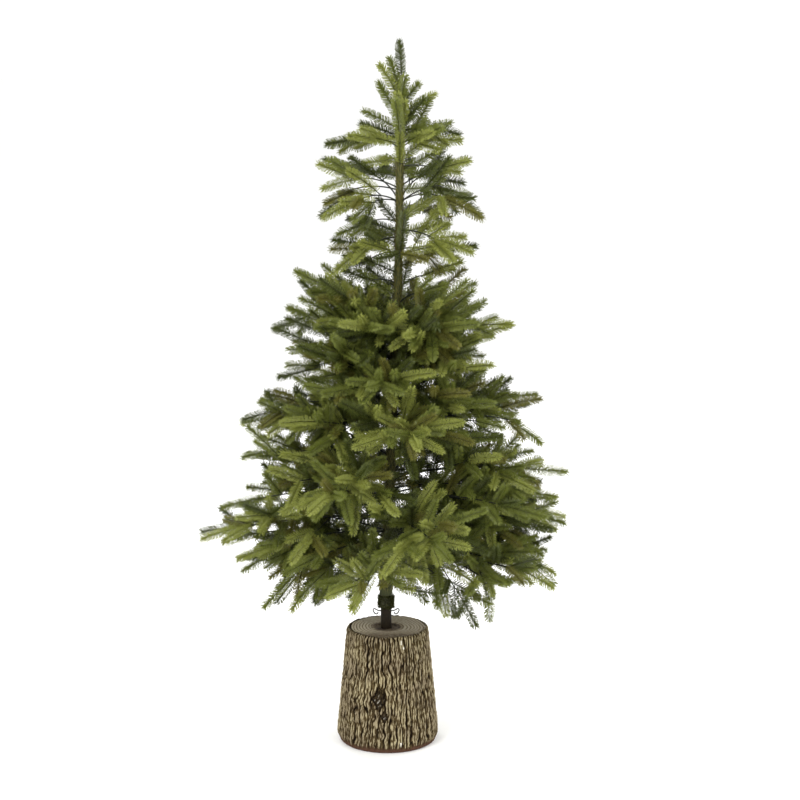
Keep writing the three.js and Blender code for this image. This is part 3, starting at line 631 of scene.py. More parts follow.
@lru_cache(maxsize=1)
def grown():
    """Grows the whole tree: its boughs and wires as routes, and its sprays.

    A spray is (tier, start, forward, normal, length, age), with age from 0 at the outermost tips to 1 by the
    pole.
    """
    boughs, wires, sprays = [], [], []
    for t, tier in enumerate(TIERS):
        for b, (azimuth, reach, tip_height) in enumerate(tier[5]):
            draw = seeded(100 * (t + 1) + b)
            limb = limb_to(tier, azimuth, reach, tip_height)
            bare = limb.length * tier[2]
            is_open = t > 5
            faces_front = is_open and abs(azimuth - 270) < 10
            wall = pole_at(tier[0])[1]
            if bare:
                boughs.append(bough_route(limb, wall - 6, bare))
            thick, thin = OPEN_RADIUS if is_open else STEM_RADIUS
            wires.append(wire_route(limb, bare if bare else wall - 4, thick, thin))
            for foot, centre, forward, normal, size, fan in forks_of(limb, tier, draw):
                middle = foot.lerp(centre, 0.5)
                wires.append([(foot, TWIG_RADIUS), (middle, TWIG_RADIUS), (centre, TWIG_RADIUS - 0.4)])
                far = (foot - limb.foot).length / limb.length
                full = SPRAY_LENGTH * size
                for angle, share, back in (fan[1:] or fan) if faces_front else fan:
                    way = Quaternion(normal, math.radians(angle)) @ forward
                    sprays.append((t, centre - forward * back, way, normal, full * share, 1 - far))
                twig = (centre - foot).length
                for angle, share, back, lift in () if is_open else FINER_SHOOTS:
                    if back > twig + 20:
                        continue
                    stray = (lift + 50 * (draw() - 0.5)) * (1 if angle > 0 else -1)
                    lifted = Quaternion(forward, math.radians(stray)) @ normal
                    way = Quaternion(lifted, math.radians(angle + 36 * (draw() - 0.5))) @ forward
                    place = centre - forward * min(back, twig)
                    sprays.append((t, place, way, lifted, full * share, 1.1 - far))
            if not is_open:
                sprays += shoots_along(limb, t, wall + 24, size, draw)
    for i, tip in enumerate(TIPS):
        draw = seeded(2000 + i)
        limb, t = thin_limb(tip, draw)
        wall = pole_at(limb.foot.z)[1]
        wires.append(wire_route(limb, wall - 4, *THIN_RADIUS))
        forward = limb.along(limb.length)
        normal = normal_for(forward, limb.over(limb.length), (draw() * 2 - 1) * THIN_ROLL)
        centre = limb.point(limb.length)
        for angle, share, back in THREE_SPRAYS:
            way = Quaternion(normal, math.radians(angle)) @ forward
            sprays.append((t, centre - forward * back, way, normal, SPRAY_LENGTH * THIN_SIZE * share, 0.1))
        sprays += shoots_along(limb, t, wall + 50, THIN_SIZE, draw)
    for foot, fork, tips in ARMS:
        route, shoots = arm(foot, Vector(fork), tips)
        wires.append(route)
        sprays += shoots
    for z, azimuth, pitch, reach in POLE_SHOOTS:
        sprays.append(spray_on_pole(8, z, azimuth, pitch, reach, pole_at(z)[1] - 1))
    for z, azimuth, pitch, reach in LEADER_SPRAYS:
        sprays.append(spray_on_pole(9, z, azimuth, pitch, reach, LEADER_WALL - 2 if z < POLE[-1][0] else 0))
    return boughs, wires, [spray for spray in sprays if stays(spray)]


def seen_from_front(place):
    """Where a place seems to be at the depth of the pole, as sideways place and height."""
    nearer = 1 + place.y / VIEW_DISTANCE
    return VIEW_ACROSS + (place.x - VIEW_ACROSS) / nearer, VIEW_HEIGHT + (place.z - VIEW_HEIGHT) / nearer


def stays(spray):
    """False for a spray that would hang below the hem or fill an opening."""
    _, start, way, _, reach, _ = spray
    across, high = seen_from_front(start + way * reach)
    if high < np.interp(across, *zip(*HEM)):
        return False
    for share in (0.55, 0.95):
        across, high = seen_from_front(start + way * reach * share)
        if any(math.hypot((across - x) / wide, (high - z) / tall) < 1 for x, z, wide, tall in OPENINGS):
            return False
    return True


# Needles, as meshes joined from arrays

# The faces of one needle. Its corners are the two ends of its upright edge at the root, and of its level edge
# at the blunt tip.
NEEDLE_FACES = np.array([(0, 2, 1), (0, 1, 3), (0, 3, 2), (1, 2, 3)])
NEEDLE_CORNERS = 4
# Needles stand round a rib in whorls. Where each needle of a whorl stands, in degrees from the upper side
WHORL = np.array([-146, -90, -34, 34, 90, 146])
# How much shorter the needles above and below a rib are than those at its sides
FLATNESS = 0.1
# How much denser the needles stand on the open upper stretch, where every spray is seen against the sky
OPEN_DENSITY = 1.1
# The length of spray that the settings' needle count and size are for
FULL_SPRAY = 118


def unit(rows):
    return rows / np.maximum(np.linalg.norm(rows, axis=1, keepdims=True), 1e-9)


def needles(root, rise, run, flat, reach, width, thickness):
    """Corners of many needles. rise and run: each one's direction at its root and towards its tip.

    flat: the direction that its flat face turns to. All sizes are in millimetres.
    """
    across = unit(np.cross(flat, rise))
    keel = np.cross(rise, across)
    sizes = (reach, width, thickness)
    reach, width, thickness = (np.reshape(np.broadcast_to(v, len(root)), (-1, 1)) for v in sizes)
    tip = root + (rise * 0.6 + run * 0.4) * reach
    corners = np.empty((len(root), NEEDLE_CORNERS, 3))
    corners[:, 0] = root - keel * thickness / 2
    corners[:, 1] = root + keel * thickness / 2
    corners[:, 2] = tip - across * width / 2
    corners[:, 3] = tip + across * width / 2
    return corners


def needle_mesh(name, groups):
    """One mesh of every needle in the groups of corners."""
    corners = np.concatenate(groups).reshape(-1, 3) * MM
    count = len(corners) // NEEDLE_CORNERS
    faces = (NEEDLE_FACES[None] + (np.arange(count) * NEEDLE_CORNERS)[:, None, None]).reshape(-1, 3)
    mesh = bpy.data.meshes.new(name)
    mesh.vertices.add(len(corners))
    mesh.vertices.foreach_set("co", corners.astype(np.float32).ravel())
    mesh.loops.add(faces.size)
    mesh.loops.foreach_set("vertex_index", faces.astype(np.int32).ravel())
    mesh.polygons.add(len(faces))
    mesh.polygons.foreach_set("loop_start", np.arange(0, faces.size, 3, dtype=np.int32))
    mesh.update(calc_edges=True)
    mesh.shade_flat()
    return mesh


def axis_of(spray, rng):
    """The gently curved line of a spray: a function from shares of its length to places and directions."""
    _, start, forward, normal, reach, _ = spray
    start, forward, normal = (np.array(v) for v in (start, forward, normal))
    side = np.cross(forward, normal)
    sag, swing = rng.uniform(-0.14, 0.05), rng.uniform(-0.07, 0.07)
    reach = reach * 0.95

    def at(share):
        share = np.reshape(share, (-1, 1))
        bend = (normal * sag + side * swing) * share * share
        place = start + (forward * share + bend) * reach
        way = unit(forward + (normal * sag + side * swing) * 2 * share)
        return place, way

    return at, normal


def spray_needles(spray, settings, rng):
    """Needles combed forward all round a spray's rib, with a tuft at its blunt tip."""
    at, normal = axis_of(spray, rng)
    tier, reach, age = spray[0], spray[4], spray[5]
    size = min(1.0, 0.72 + 0.28 * reach / FULL_SPRAY)
    inner = smooth(0.45, 1, age)
    dense = OPEN_DENSITY if tier > 5 else 1 - 0.66 * inner
    count = int(settings.needles_per_spray * dense * (reach / FULL_SPRAY) ** 0.9)
    place_in_whorl = np.arange(count) % len(WHORL)
    order = (np.arange(count) // len(WHORL) + 0.5 * (place_in_whorl % 2) + 0.25) / (count / len(WHORL) + 0.5)
    share = 0.03 + 0.96 * (1 - (1 - order) ** 1.12) + rng.uniform(-0.005, 0.005, count)
    place, way = at(np.clip(share, 0, 1))
    over = unit(normal - way * (way @ normal)[:, None])
    side = np.cross(way, over)
    turn = np.radians(WHORL[place_in_whorl]) + rng.uniform(-0.24, 0.24, count)
    radial = over * np.cos(turn)[:, None] + side * np.sin(turn)[:, None]
    angle = np.radians(np.interp(share, (0, 0.15, 0.6, 0.88, 0.96, 1), (80, 75, 70, 60, 46, 26)))
    angle = angle + rng.uniform(-1, 1, count) * np.interp(share, (0.85, 1), (0.07, 0.3))
    rise = unit(way * np.cos(angle)[:, None] + radial * np.sin(angle)[:, None])
    run = unit(way * np.cos(angle - 0.26)[:, None] + radial * np.sin(angle - 0.26)[:, None])
    reaches = np.interp(share, (0, 0.12, 0.35, 0.85, 1), (0.62, 0.86, 1, 0.94, 0.74))
    reaches = reaches * settings.needle_length / MM
    reaches = reaches * size * rng.uniform(0.86, 1.08, count)
    reaches = reaches * (1 - (FLATNESS if tier < 6 else 0) * np.abs(np.cos(turn)))
    flat = unit(over + radial * 0.25)
    wider = 1 + 0.6 * inner
    width, thickness = settings.needle_width / MM * wider, settings.needle_thickness / MM * wider
    return needles(place + radial * RIB_RADIUS * 0.4, rise, run, flat, reaches, width, thickness)


# Log stand

# The bark's furrows from the deepest to the finest: how many round the log, depth and width
BARK_FURROWS = [(49, 0.85, 0.19), (103, 0.6, 0.27)]
# How the furrows wave and lean: how wide and how tall the swings are, and how far they shift a place
BARK_WAVES = (30, 17, 4.4)
BARK_LEAN = (70, 130, 10)
# The seed of those swings. Without one they follow the clock, and the log is another one in each run.
BARK_SEED = 1
# How much further out the log is on its left side
UNEVEN = 2.2
# Knots: azimuth, height and size. Scuffs: azimuth, height, half width and half height.
KNOTS = [(-101, 142, 1.0), (-94, 98, 0.55), (62, 190, 0.9)]
SCUFFS = [(-71, 288, 1.8, 7), (-68, 274, 1.4, 3), (-75, 27, 2.6, 2.6), (118, 60, 2, 4)]
# The mesh's rows up the bark and columns round it
LOG_ROWS = 116
LOG_COLUMNS = 400
# The sawn top: how far below it the bark ends, the dish round the pole, and the bore with its foot's height
RIM_DROP = 5
DISH_RADIUS = 31
BORE_RADIUS = 14.3
BORE_FOOT = 160


def noise_at(*place):
    """Smooth noise between about -1 and 1."""
    return noise.noise(Vector(place))


def shift_at(x, y, z, wide, tall, reach):
    """How far a smooth swing shifts a place."""
    return noise.noise_vector(Vector((x / wide, y / wide, z / tall))) * reach


def off_from(angle, azimuth):
    """How far an angle is from an azimuth in degrees, the short way round, in radians."""
    return (angle - math.radians(azimuth) + math.pi) % math.tau - math.pi


def bark_height(angle, z, radius):
    """Height of the bark, about 1 on a ridge and 0 in a furrow. The furrows wave, part and meet."""
    x, y = radius * math.cos(angle), radius * math.sin(angle)
    waves, lean = shift_at(x, y, z, *BARK_WAVES), shift_at(x, y, z, *BARK_LEAN)
    angle = math.atan2(y + waves.y + lean.y, x + waves.x + lean.x)
    height = 1.0
    for count, depth, width in BARK_FURROWS:
        drift = noise_at(x / 17, y / 17, z / 70 + count)
        phase = (angle * count / math.tau + 0.6 * drift) % 1
        strength = 0.8 + 0.75 * noise_at(x / 14, y / 14, z / 44 - count)
        height -= depth * min(1, max(0, strength)) * (1 - smooth(0, width, min(phase, 1 - phase)))
    return max(0.0, height - 0.06 + 0.5 * noise_at(x / 2.4, y / 2.4, z / 13))


def knot_height(across, up):
    """Height of a knot's scar, how much of it shows at a place, and how much painted highlight its short
    flecks get there.
    """
    rough = noise_at(across / 7, up / 7, 3)
    far = abs(across) / 20 + abs(up) / 33 + 0.3 * rough
    rim = 1 - smooth(0, 0.22, abs(far - 0.9))
    fleck = smooth(0.5, 0.9, 0.5 + 0.5 * math.sin((across * 0.75 - up * 0.66 + 3 * rough) * math.tau / 9))
    patch = smooth(-0.1, 0.25, noise_at(across / 5, up / 9, 8))
    pale = fleck * patch * (1 - smooth(0.45, 0.75, far))
    return (0.42 + 0.58 * pale) * (1 - 0.8 * rim), max(rim, 1 - smooth(0.7, 0.95, far)), pale


def log_profile(high, foot, swell, knee, top):
    """The log's outline: underside, bark, sawn top with its dish, and bore."""
    rim = high - RIM_DROP
    profile = [(0, 0), (foot * 0.5, 0), (foot, 0), (foot + 3.5, 1.2), (foot + 6, 4), (swell - 3, 10)]
    profile += [(swell - 1, 17)]
    profile += [(swell + (top - swell) * i / LOG_ROWS, knee + (rim - knee) * i / LOG_ROWS)
                for i in range(LOG_ROWS + 1)]
    profile += [(top - 1.4, rim + 2.6), (top - 3, rim + 4.3), (top - 5, high)]
    flat = [top - 7 - i * 1.5 for i in range(42)]
    profile += [(r, high) for r in flat if r > DISH_RADIUS]
    profile += [(29.5, high - 1), (28, high - 3), (22, high - 3.2), (BORE_RADIUS + 0.1, high - 3.2)]
    return profile + [(BORE_RADIUS, high - 6), (BORE_RADIUS, BORE_FOOT), (0, BORE_FOOT)]


def shape_bark(vert, high, depth, layers):
    """Gives a place on the bark its relief, its tone, what shows bare or scuffed, and the painted highlight
    on its knots' flecks.
    """
    tone, bare, scuff_and_highlight = layers
    rim = high - RIM_DROP
    x, y, z = vert.co / MM
    r, angle = math.hypot(x, y), math.atan2(y, x)
    h = bark_height(angle, z, r)
    for azimuth, height, size in KNOTS:
        off = off_from(angle, azimuth)
        if abs(off) < 0.4 and abs(z - height) < 40:
            scar, inside, pale = knot_height(off * r / size, (z - height) / size)
            h += (scar - h) * inside
            # The flecks' paleness is a painted highlight, kept with the scuffs.
            vert[scuff_and_highlight] = max(vert[scuff_and_highlight], 0.6 * pale)
    fade = smooth(3, 20, z + 6 * noise_at(x / 12, y / 12, 5))
    ragged = 1 if z < rim + 1 else 0.8
    out = depth * (h - 0.6) * fade * ragged - UNEVEN * min(0, math.cos(angle))
    edge = smooth(rim - 8, high, z)
    jag = noise_at(x / 9, y / 9, 1)
    share = (r + out - edge * 1.1 * max(0, jag) + 0.8 * noise_at(x / 45, y / 45, z / 60)) / r
    vert.co.x, vert.co.y = x * share * MM, y * share * MM
    vert.co.z = (z + edge * 2.4 * jag * smooth(rim, high, z)) * MM
    vert[tone] = h * fade + (1 - fade) * 0.45
    vert[bare] = 1 - fade
    for azimuth, height, wide, tall in SCUFFS:
        far = math.hypot(off_from(angle, azimuth) * r / wide, (z - height) / tall)
        vert[scuff_and_highlight] = max(vert[scuff_and_highlight], 1 - smooth(0.7, 1.2, far + 0.5 * noise_at(x / 2, y / 2, z / 2)))


def shape_top(vert, high, top, ring, tone):
    """Gives a place on the sawn top its growth rings, its cracks, a dark patch round the pole, and painted
    shade over its front.
    """
    x, y, _ = vert.co / MM
    r, angle = math.hypot(x, y), math.atan2(y, x)
    near = 1 - smooth(32, 56, r)
    wander = 7 * noise_at(x / 60, y / 60, 2) + 1.6 * noise_at(x / 18, y / 18, 4)
    growth = smooth(0, 0.9, math.sin((r + wander) * math.tau / ring)) * (1 - 0.6 * near)
    ragged = 1.6 * noise_at(math.cos(angle) * 2.2, math.sin(angle) * 2.2, 3)
    if r > DISH_RADIUS:
        vert.co.z = (high - 0.35 - 0.4 * growth - 0.7 * smooth(44, 31, r)) * MM
    share = 1 + (ragged * near * (1 if r > 26 else 0)) / max(r, 1)
    vert.co.x, vert.co.y = (x * share + SOCKET_X * near) * MM, y * share * MM
    crack = smooth(0.25, 0.6, abs(noise_at(math.cos(angle) * 4, math.sin(angle) * 4, r / 40)))
    # Darker round the pole, further out along the cracks, and near the rim.
    dark = (1 - smooth(30, 36 + 16 * (1 - crack), r)) + smooth(top - 10, top - 5, r + 2 * ragged)
    # The last term is painted shade that darkens the front of the top.
    vert[tone] = 0.66 - 0.42 * growth - 0.46 * min(1, dark) - 0.3 * smooth(34, 84, -y)


def make_log(settings):
    high, foot, swell = (v / MM for v in (settings.height, settings.foot_radius, settings.swell_radius))
    knee, top = settings.swell_height / MM, settings.top_radius / MM
    depth, ring = settings.bark_depth / MM, settings.ring_width / MM
    noise.seed_set(BARK_SEED)
    bm = turned(log_profile(high, foot, swell, knee, top), LOG_COLUMNS)
    layers = [bm.verts.layers.float.new(name) for name in ("ridge", "bare", "scuff_and_highlight")]
    tone = layers[0]
    for vert in bm.verts:
        x, y, z = vert.co / MM
        r = math.hypot(x, y)
        if r > top - 6 and z > 0.5:
            shape_bark(vert, high, depth, layers)
        elif z > high - 8:
            shape_top(vert, high, top, ring, tone)
        elif 100 < z and r < 20:
            vert.co.x += SOCKET_X * MM
            vert[tone] = 0
    mesh = from_bmesh("log_stand_bark", bm)
    for face in mesh.polygons:
        centre = face.center / MM
        if centre.z > high - 8 and math.hypot(centre.x, centre.y) < top - 5.6:
            face.material_index = 1
    return mesh


def bark_finish(settings):
    """Cast resin bark, stained and dry-brushed: matt, dark in its furrows from stain and painted shade, and
    pale khaki on its ridges.
    """
    material, tree, shader = finish("Cast_resin_bark")
    coordinates = add(tree, "ShaderNodeTexCoord").outputs["Object"]
    ridge = add(tree, "ShaderNodeAttribute", {"attribute_name": "ridge"}).outputs["Fac"]
    # Grain of the cast, 3 mm across and drawn out upright
    stretch = add(tree, "ShaderNodeMapping", {"Scale": (1, 1, 0.3)}, Vector=coordinates)
    grain = add(tree, "ShaderNodeTexNoise", {"Scale": 330, "Detail": 4, "Roughness": 0.7},
                Vector=stretch.outputs[0])
    part = add(tree, "ShaderNodeMath", {"operation": "MULTIPLY_ADD", 1: 1.2, 2: -0.6}, i0=grain.outputs[0])
    height = add(tree, "ShaderNodeMath", {"operation": "ADD"}, i0=ridge, i1=part.outputs[0])
    # From furrow to ridge: the furrows' dark is stain and painted shade, and the ridges' pale is
    # dry-brushing.
    ramp = add(tree, "ShaderNodeValToRGB", Fac=height.outputs[0])
    stops(ramp, (0.26, settings.furrow), (0.5, ray(settings.bark, 0.5)), (0.76, settings.bark),
          (1.0, settings.ridge))
    # Patches of greyer and warmer stain, about 45 mm across
    patch = add(tree, "ShaderNodeTexNoise", {"Scale": 22, "Detail": 2}, Vector=coordinates)
    patchy = add(tree, "ShaderNodeValToRGB", Fac=patch.outputs[0])
    stops(patchy, (0.36, linear("#cdbfae")), (0.64, linear("#fff6dc")))
    stained = add(tree, "ShaderNodeMix", {"data_type": "RGBA", "blend_type": "MULTIPLY", 0: 0.8},
                  i6=ramp.outputs[0], i7=patchy.outputs[0])
    bare = add(tree, "ShaderNodeAttribute", {"attribute_name": "bare"}).outputs["Fac"]
    foot = add(tree, "ShaderNodeMix", {"data_type": "RGBA", 7: settings.foot}, i0=bare, i6=stained.outputs[2])
    # Scuffs of wear and the painted highlight on the knots' flecks turn near white.
    scuff_and_highlight = add(tree, "ShaderNodeAttribute", {"attribute_name": "scuff_and_highlight"}).outputs["Fac"]
    worn_and_highlit = add(tree, "ShaderNodeMix", {"data_type": "RGBA", 7: linear("#e6e2d4")},
               i0=scuff_and_highlight, i6=foot.outputs[2])
    feed(shader, "Base Color", worn_and_highlit, 2)
    rough = add(tree, "ShaderNodeMapRange", {"To Min": 0.95, "To Max": 0.66}, Value=ridge)
    feed(shader, "Roughness", rough)
    bump = add(tree, "ShaderNodeBump", {"Strength": 0.5, "Distance": 0.0006}, Height=grain.outputs[0])
    feed(shader, "Normal", bump)
    shader.inputs["Specular IOR Level"].default_value = 0.07
    return material


def sawn_finish(settings):
    """Cast resin sawn wood: matt grey-brown with darker growth rings, a dark patch round the pole, and
    painted shade towards the front.
    """
    material, tree, shader = finish("Cast_resin_sawn_wood")
    coordinates = add(tree, "ShaderNodeTexCoord").outputs["Object"]
    ring = add(tree, "ShaderNodeAttribute", {"attribute_name": "ridge"}).outputs["Fac"]
    # Saw marks and grain, 4 mm across
    grain = add(tree, "ShaderNodeTexNoise", {"Scale": 240, "Detail": 4}, Vector=coordinates)
    part = add(tree, "ShaderNodeMath", {"operation": "MULTIPLY_ADD", 1: 0.7, 2: -0.35}, i0=grain.outputs[0])
    tone = add(tree, "ShaderNodeMath", {"operation": "ADD"}, i0=ring, i1=part.outputs[0])
    ramp = add(tree, "ShaderNodeValToRGB", Fac=tone.outputs[0])
    stops(ramp, (0.0, linear("#2b1c11")), (0.3, linear("#6f604a")), (0.6, settings.sawn),
          (1.0, ray(settings.sawn, 1.3)))
    feed(shader, "Base Color", ramp)
    bump = add(tree, "ShaderNodeBump", {"Strength": 0.4, "Distance": 0.0004}, Height=grain.outputs[0])
    feed(shader, "Normal", bump)
    shader.inputs["Roughness"].default_value = 0.82
    shader.inputs["Specular IOR Level"].default_value = 0.3
    return material


class CHRISTMASTREE_OT_log_stand(Operator):
    """Log stand with bark relief, a knot and a ringed top"""

    bl_idname = "christmas_tree.log_stand"
    bl_label = "Log stand"

    def execute(self, context):
        settings = context.scene.log_stand
        finishes = [bark_finish(settings), sawn_finish(settings)]
        piece("log_stand_bark", make_log(settings), finishes, ["log_stand"])
        return {"FINISHED"}


# Pole and its fittings


def steel_finish(name, tone, metallic, roughness):
    """Steel under brown paint or bright zinc: faintly mottled, with softened highlights."""
    material, tree, shader = finish(name)
    coordinates = add(tree, "ShaderNodeTexCoord").outputs["Object"]
    # Mottling 5 mm across
    mottle = add(tree, "ShaderNodeTexNoise", {"Scale": 200, "Detail": 3}, Vector=coordinates)
    ramp = add(tree, "ShaderNodeValToRGB", Fac=mottle.outputs[0])
    stops(ramp, (0.35, ray(tone, 0.7)), (0.7, ray(tone, 1.2)))
    feed(shader, "Base Color", ramp)
    rough = add(tree, "ShaderNodeMapRange", {"To Min": roughness - 0.08, "To Max": roughness + 0.1},
                Value=mottle.outputs[0])
    feed(shader, "Roughness", rough)
    shader.inputs["Metallic"].default_value = metallic
    if not metallic:
        shader.inputs["Specular IOR Level"].default_value = 0.14
    return material


def tape_finish(name, tone, lap):
    """Wound crepe tape: matt, crinkled lengthwise, with a darker line where each lap ends."""
    material, tree, shader = finish(name)
    coordinates = add(tree, "ShaderNodeTexCoord").outputs["Object"]
    # Crinkles 1.5 mm apart round the pole
    stretch = add(tree, "ShaderNodeMapping", {"Scale": (1, 1, 0.16)}, Vector=coordinates)
    crinkle = add(tree, "ShaderNodeTexNoise", {"Scale": 650, "Detail": 2}, Vector=stretch.outputs[0])
    ramp = add(tree, "ShaderNodeValToRGB", Fac=crinkle.outputs[0])
    stops(ramp, (0.3, ray(tone, 0.6)), (0.7, ray(tone, 1.25)))
    wave = add(tree, "ShaderNodeTexWave", {"bands_direction": "Z", "Scale": math.tau / 20 / (lap * MM),
                                           "Distortion": 1.5}, Vector=coordinates)
    edge = add(tree, "ShaderNodeMapRange", {"From Max": 0.25, "To Min": 0.7, "To Max": 1.0},
               Value=wave.outputs[1])
    lapped = add(tree, "ShaderNodeMix", {"data_type": "RGBA", "blend_type": "MULTIPLY", 0: 1.0},
                 i6=ramp.outputs[0], i7=edge.outputs[0])
    feed(shader, "Base Color", lapped, 2)
    bump = add(tree, "ShaderNodeBump", {"Strength": 0.5, "Distance": 0.0005}, Height=crinkle.outputs[0])
    feed(shader, "Normal", bump)
    shader.inputs["Roughness"].default_value = 0.8
    return material


def needle_finish(name, tone, roughness=0.42):
    """Moulded polyethylene: one plain green a spray with a soft waxy sheen."""
    material, tree, shader = finish(name)
    shader.inputs["Base Color"].default_value = tone
    shader.inputs["Roughness"].default_value = roughness
    shader.inputs["Specular IOR Level"].default_value = 0.34
    return material


def roughen(bm, amount, wide, tall):
    """Makes the outside of a turned fitting a little lumpy."""
    for vert in bm.verts:
        x, y, z = vert.co / MM
        if math.hypot(x, y) > 14:
            share = 1 + amount * noise_at(x / wide, y / wide, z / tall)
            vert.co.x, vert.co.y = x * share * MM, y * share * MM


def bend_to_pole(bm):
    for vert in bm.verts:
        vert.co.x += pole_at(vert.co.z / MM)[0] * MM


class CHRISTMASTREE_OT_socket(Operator):
    """Steel socket in the log and the two wire thumb screws that grip the pole"""

    bl_idname = "christmas_tree.socket"
    bl_label = "Socket and thumb screws"

    def execute(self, context):
        settings = context.scene.tree_pole
        profile = [(12.4, 160.3), (14, 160.3), (14, 351.2), (13.7, 351.8), (13.2, 352), (12.6, 351.8),
                   (12.4, 351.2)]
        bm = turned(profile, 48, is_closed=True)
        bmesh.ops.translate(bm, verts=bm.verts, vec=(SOCKET_X * MM, 0, 0))
        painted = steel_finish("Painted_steel", settings.steel, 0.0, 0.5)
        piece("socket_tube", from_bmesh("socket_tube", bm), [painted], ["stand_socket"])
        zinc = steel_finish("Zinc_plated_wire", settings.zinc, 1.0, 0.34)
        for side, azimuth in (("left", 170), ("right", 10)):
            turn = Matrix.Rotation(math.radians(azimuth), 4, "Z")
            points = [turn @ Vector((out, 0, up)) + Vector((SOCKET_X, 0, 343)) for out, up in SCREW_ROUTE]
            mesh = bar_mesh("thumb_screw_" + side, [[(p, 1.6) for p in flowing(points, 5)]], 3)
            piece("wire_screw_" + side, mesh, [zinc], ["thumb_screw_" + side])
        return {"FINISHED"}


def flowing(points, steps):
    """Points on a smooth line through the given ones."""
    ends = [points[0] * 2 - points[1], *points, points[-1] * 2 - points[-2]]
    line = []
    for a, b, c, d in zip(ends, ends[1:], ends[2:], ends[3:]):
        for i in range(steps):
            t = i / steps
            line.append(0.5 * (2 * b + (c - a) * t + (2 * a - 5 * b + 4 * c - d) * t**2
                               + (3 * b - a - 3 * c + d) * t**3))
    return [*line, points[-1]]


class CHRISTMASTREE_OT_pole(Operator):
    """Centre pole wound with tape, its plain sleeve, and the short needles wrapped round it"""

    bl_idname = "christmas_tree.pole"
    bl_label = "Pole and sleeve"

    def execute(self, context):
        settings = context.scene.tree_pole
        lap = 17
        profile = [(0, 160.3)]
        z = 160.3
        while z < POLE[-1][0]:
            profile.append((pole_at(z)[1], z))
            z += 6 if z > 440 else 30
        profile += [(3, 1691), (2.2, 1692), (0, 1692)]
        bm = turned(profile, 20)
        for vert in bm.verts:
            x, y, z = vert.co / MM
            if z > 446 and math.hypot(x, y) > 1:
                wind = (z / lap + math.atan2(y, x) / math.tau) % 1
                share = 1 - 0.045 * wind
                vert.co.x, vert.co.y = x * share * MM, y * share * MM
        bend_to_pole(bm)
        tape = tape_finish("Crepe_tape", settings.tape, lap)
        piece("pole_taped", from_bmesh("pole_taped", bm), [tape], ["centre_pole"])

        profile = [(12.2, 387.5), (15.5, 386.6), (SLEEVE_RADIUS, 389)]
        profile += [(SLEEVE_RADIUS - 0.35 * (i % 3), 392 + i * 2.4) for i in range(21)]
        profile += [(17.0, 443), (15.6, 445.6), (12.2, 445)]
        bm = turned(profile, 40, is_closed=True)
        roughen(bm, 0.025, 9, 14)
        bend_to_pole(bm)
        piece("sleeve_tape", from_bmesh("sleeve_tape", bm), [tape], ["pole_sleeve"])

        rng = np.random.default_rng(21)
        count = settings.needle_count
        z = np.sort(rng.uniform(396, 1688, count))
        axis = np.array([pole_at(v) for v in z])
        axis[:, 1] = np.where(z < 446, SLEEVE_RADIUS, axis[:, 1])
        turn = np.arange(count) * 2.39996 + rng.uniform(-0.4, 0.4, count)
        out = np.stack([np.cos(turn), np.sin(turn), np.zeros(count)], 1)
        root = out * (axis[:, 1] - 1.2)[:, None] + np.stack([axis[:, 0], np.zeros(count), z], 1)
        lift = np.radians(rng.uniform(52, 78, count))[:, None]
        rise = out * np.cos(lift) + np.array(UP) * np.sin(lift)
        run = unit(rise + np.array(UP) * 0.25)
        reach = settings.needle_length / MM * rng.uniform(0.7, 1.1, count)
        reach = reach * np.interp(z, (1560, 1690), (1, 0.7))
        mesh = needle_mesh("pole_needles", [needles(root, rise, run, out, reach, 2.1, 1.1)])
        piece("pole_needles", mesh, [needle_finish("Moulded_needles_brown", settings.wrap)])
        return {"FINISHED"}


class CHRISTMASTREE_OT_cuff(Operator):
    """Bushy tinsel cuff just above the socket"""

    bl_idname = "christmas_tree.cuff"
    bl_label = "Tinsel cuff"

    def execute(self, context):
        settings = context.scene.tree_pole
        profile = [(12.3, 352.6), (15, 352.4), (17.4, 356), (16.4, 361), (17.6, 367), (16.2, 373),
                   (17.4, 379), (15.4, 385), (12.3, 385.8)]
        bm = turned(profile, 36, is_closed=True)
        roughen(bm, 0.07, 6, 6)
        bend_to_pole(bm)
        tinsel = needle_finish("Tinsel_strips", settings.tinsel, 0.28)
        piece("cuff_core", from_bmesh("cuff_core", bm), [tinsel], ["tinsel_cuff"])
        rng = np.random.default_rng(5)
        count = 1500
        turn = rng.uniform(0, math.tau, count)
        z = rng.uniform(354, 385, count)
        out = np.stack([np.cos(turn), np.sin(turn), np.zeros(count)], 1)
        root = out * 15 + np.stack([np.full(count, SOCKET_X), np.zeros(count), z], 1)
        rise = unit(out + rng.normal(0, 0.7, (count, 3)))
        run = unit(rise + rng.normal(0, 0.35, (count, 3)))
        strips = needles(root, rise, run, np.roll(out, 1, 1), rng.uniform(4.5, 9.5, count), 1.9, 0.5)
        mesh = needle_mesh("cuff_strips", [strips])
        piece("cuff_strips", mesh, [tinsel])
        return {"FINISHED"}


# Limbs and foliage


